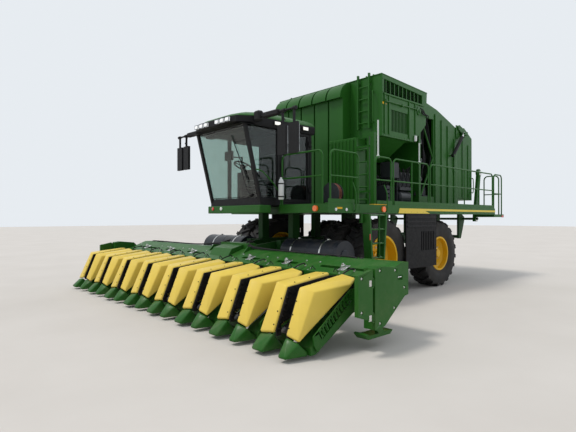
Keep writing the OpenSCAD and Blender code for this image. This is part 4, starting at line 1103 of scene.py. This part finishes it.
# net wires, grille backing, panel bolts, board edges and panel lips
wires, back_net, rivets = Kit("net_wires", "dark_green"), Kit("grille_backing", "black"), Kit("panel_bolts", "green")
for side in BOTH:
    y = side * 1.7
    for i in range(41):
        x = 0.4 + i * 0.04
        wires.tube([(x, y, 4.6), (x, y, 4.86 + (x - 0.4) * 0.03)], 0.004, 4)
    for k in range(8):
        wires.tube([(0.38, y, 4.62 + 0.035 * k), (2.01, y, 4.62 + 0.035 * k)], 0.004, 4)
    back_net.plate((1.03, side * 1.69 - 0.002, 3.74), (1.75, side * 1.69 + 0.002, 4.26), 0.001)
    places = [(0.3 + i * 0.108, 4.56) for i in range(17)] + [(0.86 + i * 0.108, 3.635) for i in range(12)]
    for x, z in places + [(2.075, 3.7 + i * 0.15) for i in range(9)]:
        rivets.bolt((x, side * 1.74, z), LEFT * side, 0.016)
    for x in (-0.685, -1.025, -1.365, -1.745):
        for i in range(12):
            rivets.bolt((x, side * 1.525, 2.1 + i * 0.19), LEFT * side, 0.014)
for i in range(11):
    for z in (2.06, 3.5):
        rivets.bolt((2.45, 0.47 + i * 0.075, z), FRONT, 0.016)
for i in range(22):
    rivets.bolt((3 - 0.25 * i, 2.27, 1.86), LEFT, 0.016)
for p, q, d in (
    ((4.49, 2.262, 1.832), (-2.69, 2.262, 1.832), 0.018),
    ((4.49, 2.262, 1.996), (-2.69, 2.262, 1.996), 0.014),
    ((2.1, 1.735, 3.6), (2.1, 1.735, 5.01), 0.03),
    ((2.1, 1.735, 3.61), (0.78, 1.735, 3.61), 0.03),
    ((2.1, 1.735, 5.012), (0.15, 1.735, 4.925), 0.03),
    ((2.1, -1.735, 5.012), (2.1, 1.735, 5.012), 0.03),
):
    rivets.tube([p, q], d, 6)

# top corner: hinge brackets, crank rod and cable hoop
top = Kit("top_fittings", "green")
for y in (1.25, 1.45, -1.35):
    top.plate((1.5, y - 0.012, 4.985), (1.66, y + 0.012, 5.07))
    top.plate((1.9, y - 0.012, 5), (2.04, y + 0.012, 5.075))
for p, q, d in (
    ((1.58, 1.2, 5.045), (1.58, 1.5, 5.045), 0.03),
    ((1.97, 1.2, 5.05), (1.97, 1.5, 5.05), 0.03),
    ((1.58, 1.36, 5.045), (1.97, 1.36, 5.05), 0.04),
    ((0.62, 1.765, 4.42), (2.04, 1.765, 4.4), 0.03),
):
    top.tube([p, q], d)
for x in (0.66, 1.3, 1.96):
    top.plate((x - 0.03, 1.738, 4.38), (x + 0.03, 1.785, 4.44))
top.turned((0.55, 1.74, 4.4), LEFT, [(0.1, 0), (0.1, 0.02), (0.04, 0.03), (0.04, 0.05)], 24)

# open bay and engine: valve block, roller bearings, belt, hoses
bay, hoses, belt = Kit("bay_fittings", "dark_grey"), Kit("hoses", "rubber"), Kit("engine_belt", "rubber")
for z in BELTS_Z:
    bay.turned((-0.02, 1.44, z), LEFT, [(0.05, -0.02), (0.05, 0.03), (0.02, 0.034)])
bay.plate((-0.5, 1.1, 2.02), (-0.2, 1.42, 2.34), 0.02)
bay.plate((-0.44, 1.16, 2.33), (-0.26, 1.36, 2.55), 0.015)
hoses.hose([(1.32, 1.6, 4.93), (1.22, 1.55, 5.04), (1.05, 1.5, 5.06), (0.88, 1.5, 5.04), (0.8, 1.55, 4.93)], 0.022)
for dy in (0, 0.05, 0.1):
    hoses.hose([(0.62 - dy, 1.72, 4.5), (0.4, 1.78, 4.44 - dy), (0.12, 1.66 + dy, 4.3), (-0.05, 1.5 - dy, 3.9),
                (-0.12 - dy, 1.47, 3.3), (-0.02, 1.46 - dy, 2.7), (0.1 + dy, 1.4, 2.32)], 0.026)
for i in range(7):
    a, b = -0.46 + 0.05 * i, 1.15 + 0.035 * i
    hoses.hose([(a, b, 2.34), (a - 0.02, b + 0.02, 2.55), (a + 0.12, b, 2.85 + 0.05 * i),
                (0.3 + 0.05 * i, 1.3 - 0.03 * i, 2.75), (0.42 + 0.04 * i, 1.26, 2.45)], 0.028)
for i in range(4):
    hoses.hose([(-0.55, 1.43 - 0.03 * i, 2.3), (-0.5 + 0.03 * i, 1.45, 2.9), (-0.56, 1.43, 3.5),
                (-0.48, 1.42 - 0.03 * i, 4.1), (-0.4, 1.4, 4.38)], 0.024)
for i in range(6):
    x = 0.42 + 0.16 * i
    hoses.hose([(x, 0.24, 2.9), (x + 0.02, 0.33, 2.94), (x + 0.03, 0.4, 2.82), (x + 0.03, 0.425, 2.7)], 0.018, 5, 6)
hoses.hose([(1.16, 0.56, 2.76), (1.34, 0.58, 2.78), (1.46, 0.75, 2.9), (1.5, 0.95, 3.05)], 0.12, 6, 14)
for i in range(5):
    y = 1.1 + 0.07 * i
    hoses.hose([(1.38, y, 2.52), (1.38, y, 2.66), (1.2 - 0.05 * i, y, 2.64), (1.05, 1.2 + 0.03 * i, 2.56),
                (1.05, 1.2 + 0.03 * i, 2.5)], 0.024)
for x in FILTERS_X:
    hoses.hose([(x, 1.4, 2.5), (x + 0.02, 1.43, 2.6), (x + 0.05, 1.38, 2.95), (x + 0.02, 1.33, 2.98),
                (x, 1.33, 2.88)], 0.022)
belt.tube([(0.255, y + r * math.cos(math.radians(a)), z + r * math.sin(math.radians(a)))
           for (y, z), r, angles in ((PULLEY, 0.172, range(-215, -14, 10)), (ALTERNATOR, 0.092, range(0, 133, 12)))
           for a in angles], 0.016, 6, True)

# hose wound on the reel, its end let down to a fitting in the deck
REEL = (1.35, 2.24)
reel, flange = Kit("reel_hose", "red_hose"), Kit("reel_flanges", "dark_grey", slot="black")
for i in range(4):
    reel.tube([at(3.302 + 0.026 * i, *REEL) + v for v in circle(LEFT, UP, 0.222, 30)], 0.026, 8, True)
reel.hose([(3.38, 1.572, 2.24), (3.39, 1.6, 2.16), (3.4, 1.66, 2.07), (3.41, 1.72, 2.03), (3.42, 1.75, 2)], 0.024)
for x in (3.272, 3.408):
    flange.turned((x, *REEL), FRONT, [(0.08, -0.006), (0.245, -0.006), (0.245, 0.006), (0.08, 0.006)], 40)
flange.bolt_ring((3.414, *REEL), FRONT, 0.12, 6, 0.016)

# right side: rings and spokes on the turning screen, straps and filler on the fuel tank
SCREEN = (0.85, -2.24, 2.65)
mesh_rings = Kit("screen_rings", "iron", "screen", slot="dark_grey")
tank = Kit("tank_straps", "zinc")
for r in (0.12, 0.2, 0.28, 0.36, 0.44, 0.485):
    mesh_rings.turned(SCREEN, -LEFT, [(r - 0.004, -0.002), (r - 0.004, 0.005), (r + 0.004, 0.005), (r + 0.004, -0.002)],
                      48, ring=True)
for k in range(12):
    turn = Matrix.Rotation(math.pi / 6 * k, 4, "Y")
    place = Matrix.Translation(at(*SCREEN)) @ turn @ Matrix.Translation((0.29, 0, 0))
    mesh_rings.slab((0.4, 0.006, 0.01), place, 0.001)
for x in (1.95, 2.6):
    tank.plates(0.001, (x, -2.206, 2, x + 0.05, -2.199, 3.004), (x, -2.206, 2.998, x + 0.05, -1.6, 3.006))
tank.turned((2.28, -1.95, 2.999), UP, [(0.07, 0), (0.07, 0.02), (0.06, 0.02), (0.06, 0.06), (0.05, 0.07)], 24)

for kit in Kit.named:
    kit.done()

# floor
ground = Surface("pale_floor")
blotches = ground.span(ground.noise(0.5, 4), 0.3, 0.7)
ground.set(Base_Color=ground.mix(blotches, (0.56, 0.52, 0.47), (0.6, 0.56, 0.51)), Roughness=0.9)
far = 90
floor = make("floor", ([(-far, -far, 0), (far, -far, 0), (far, far, 0), (-far, far, 0)], [(0, 1, 2, 3)]), ground.mat)
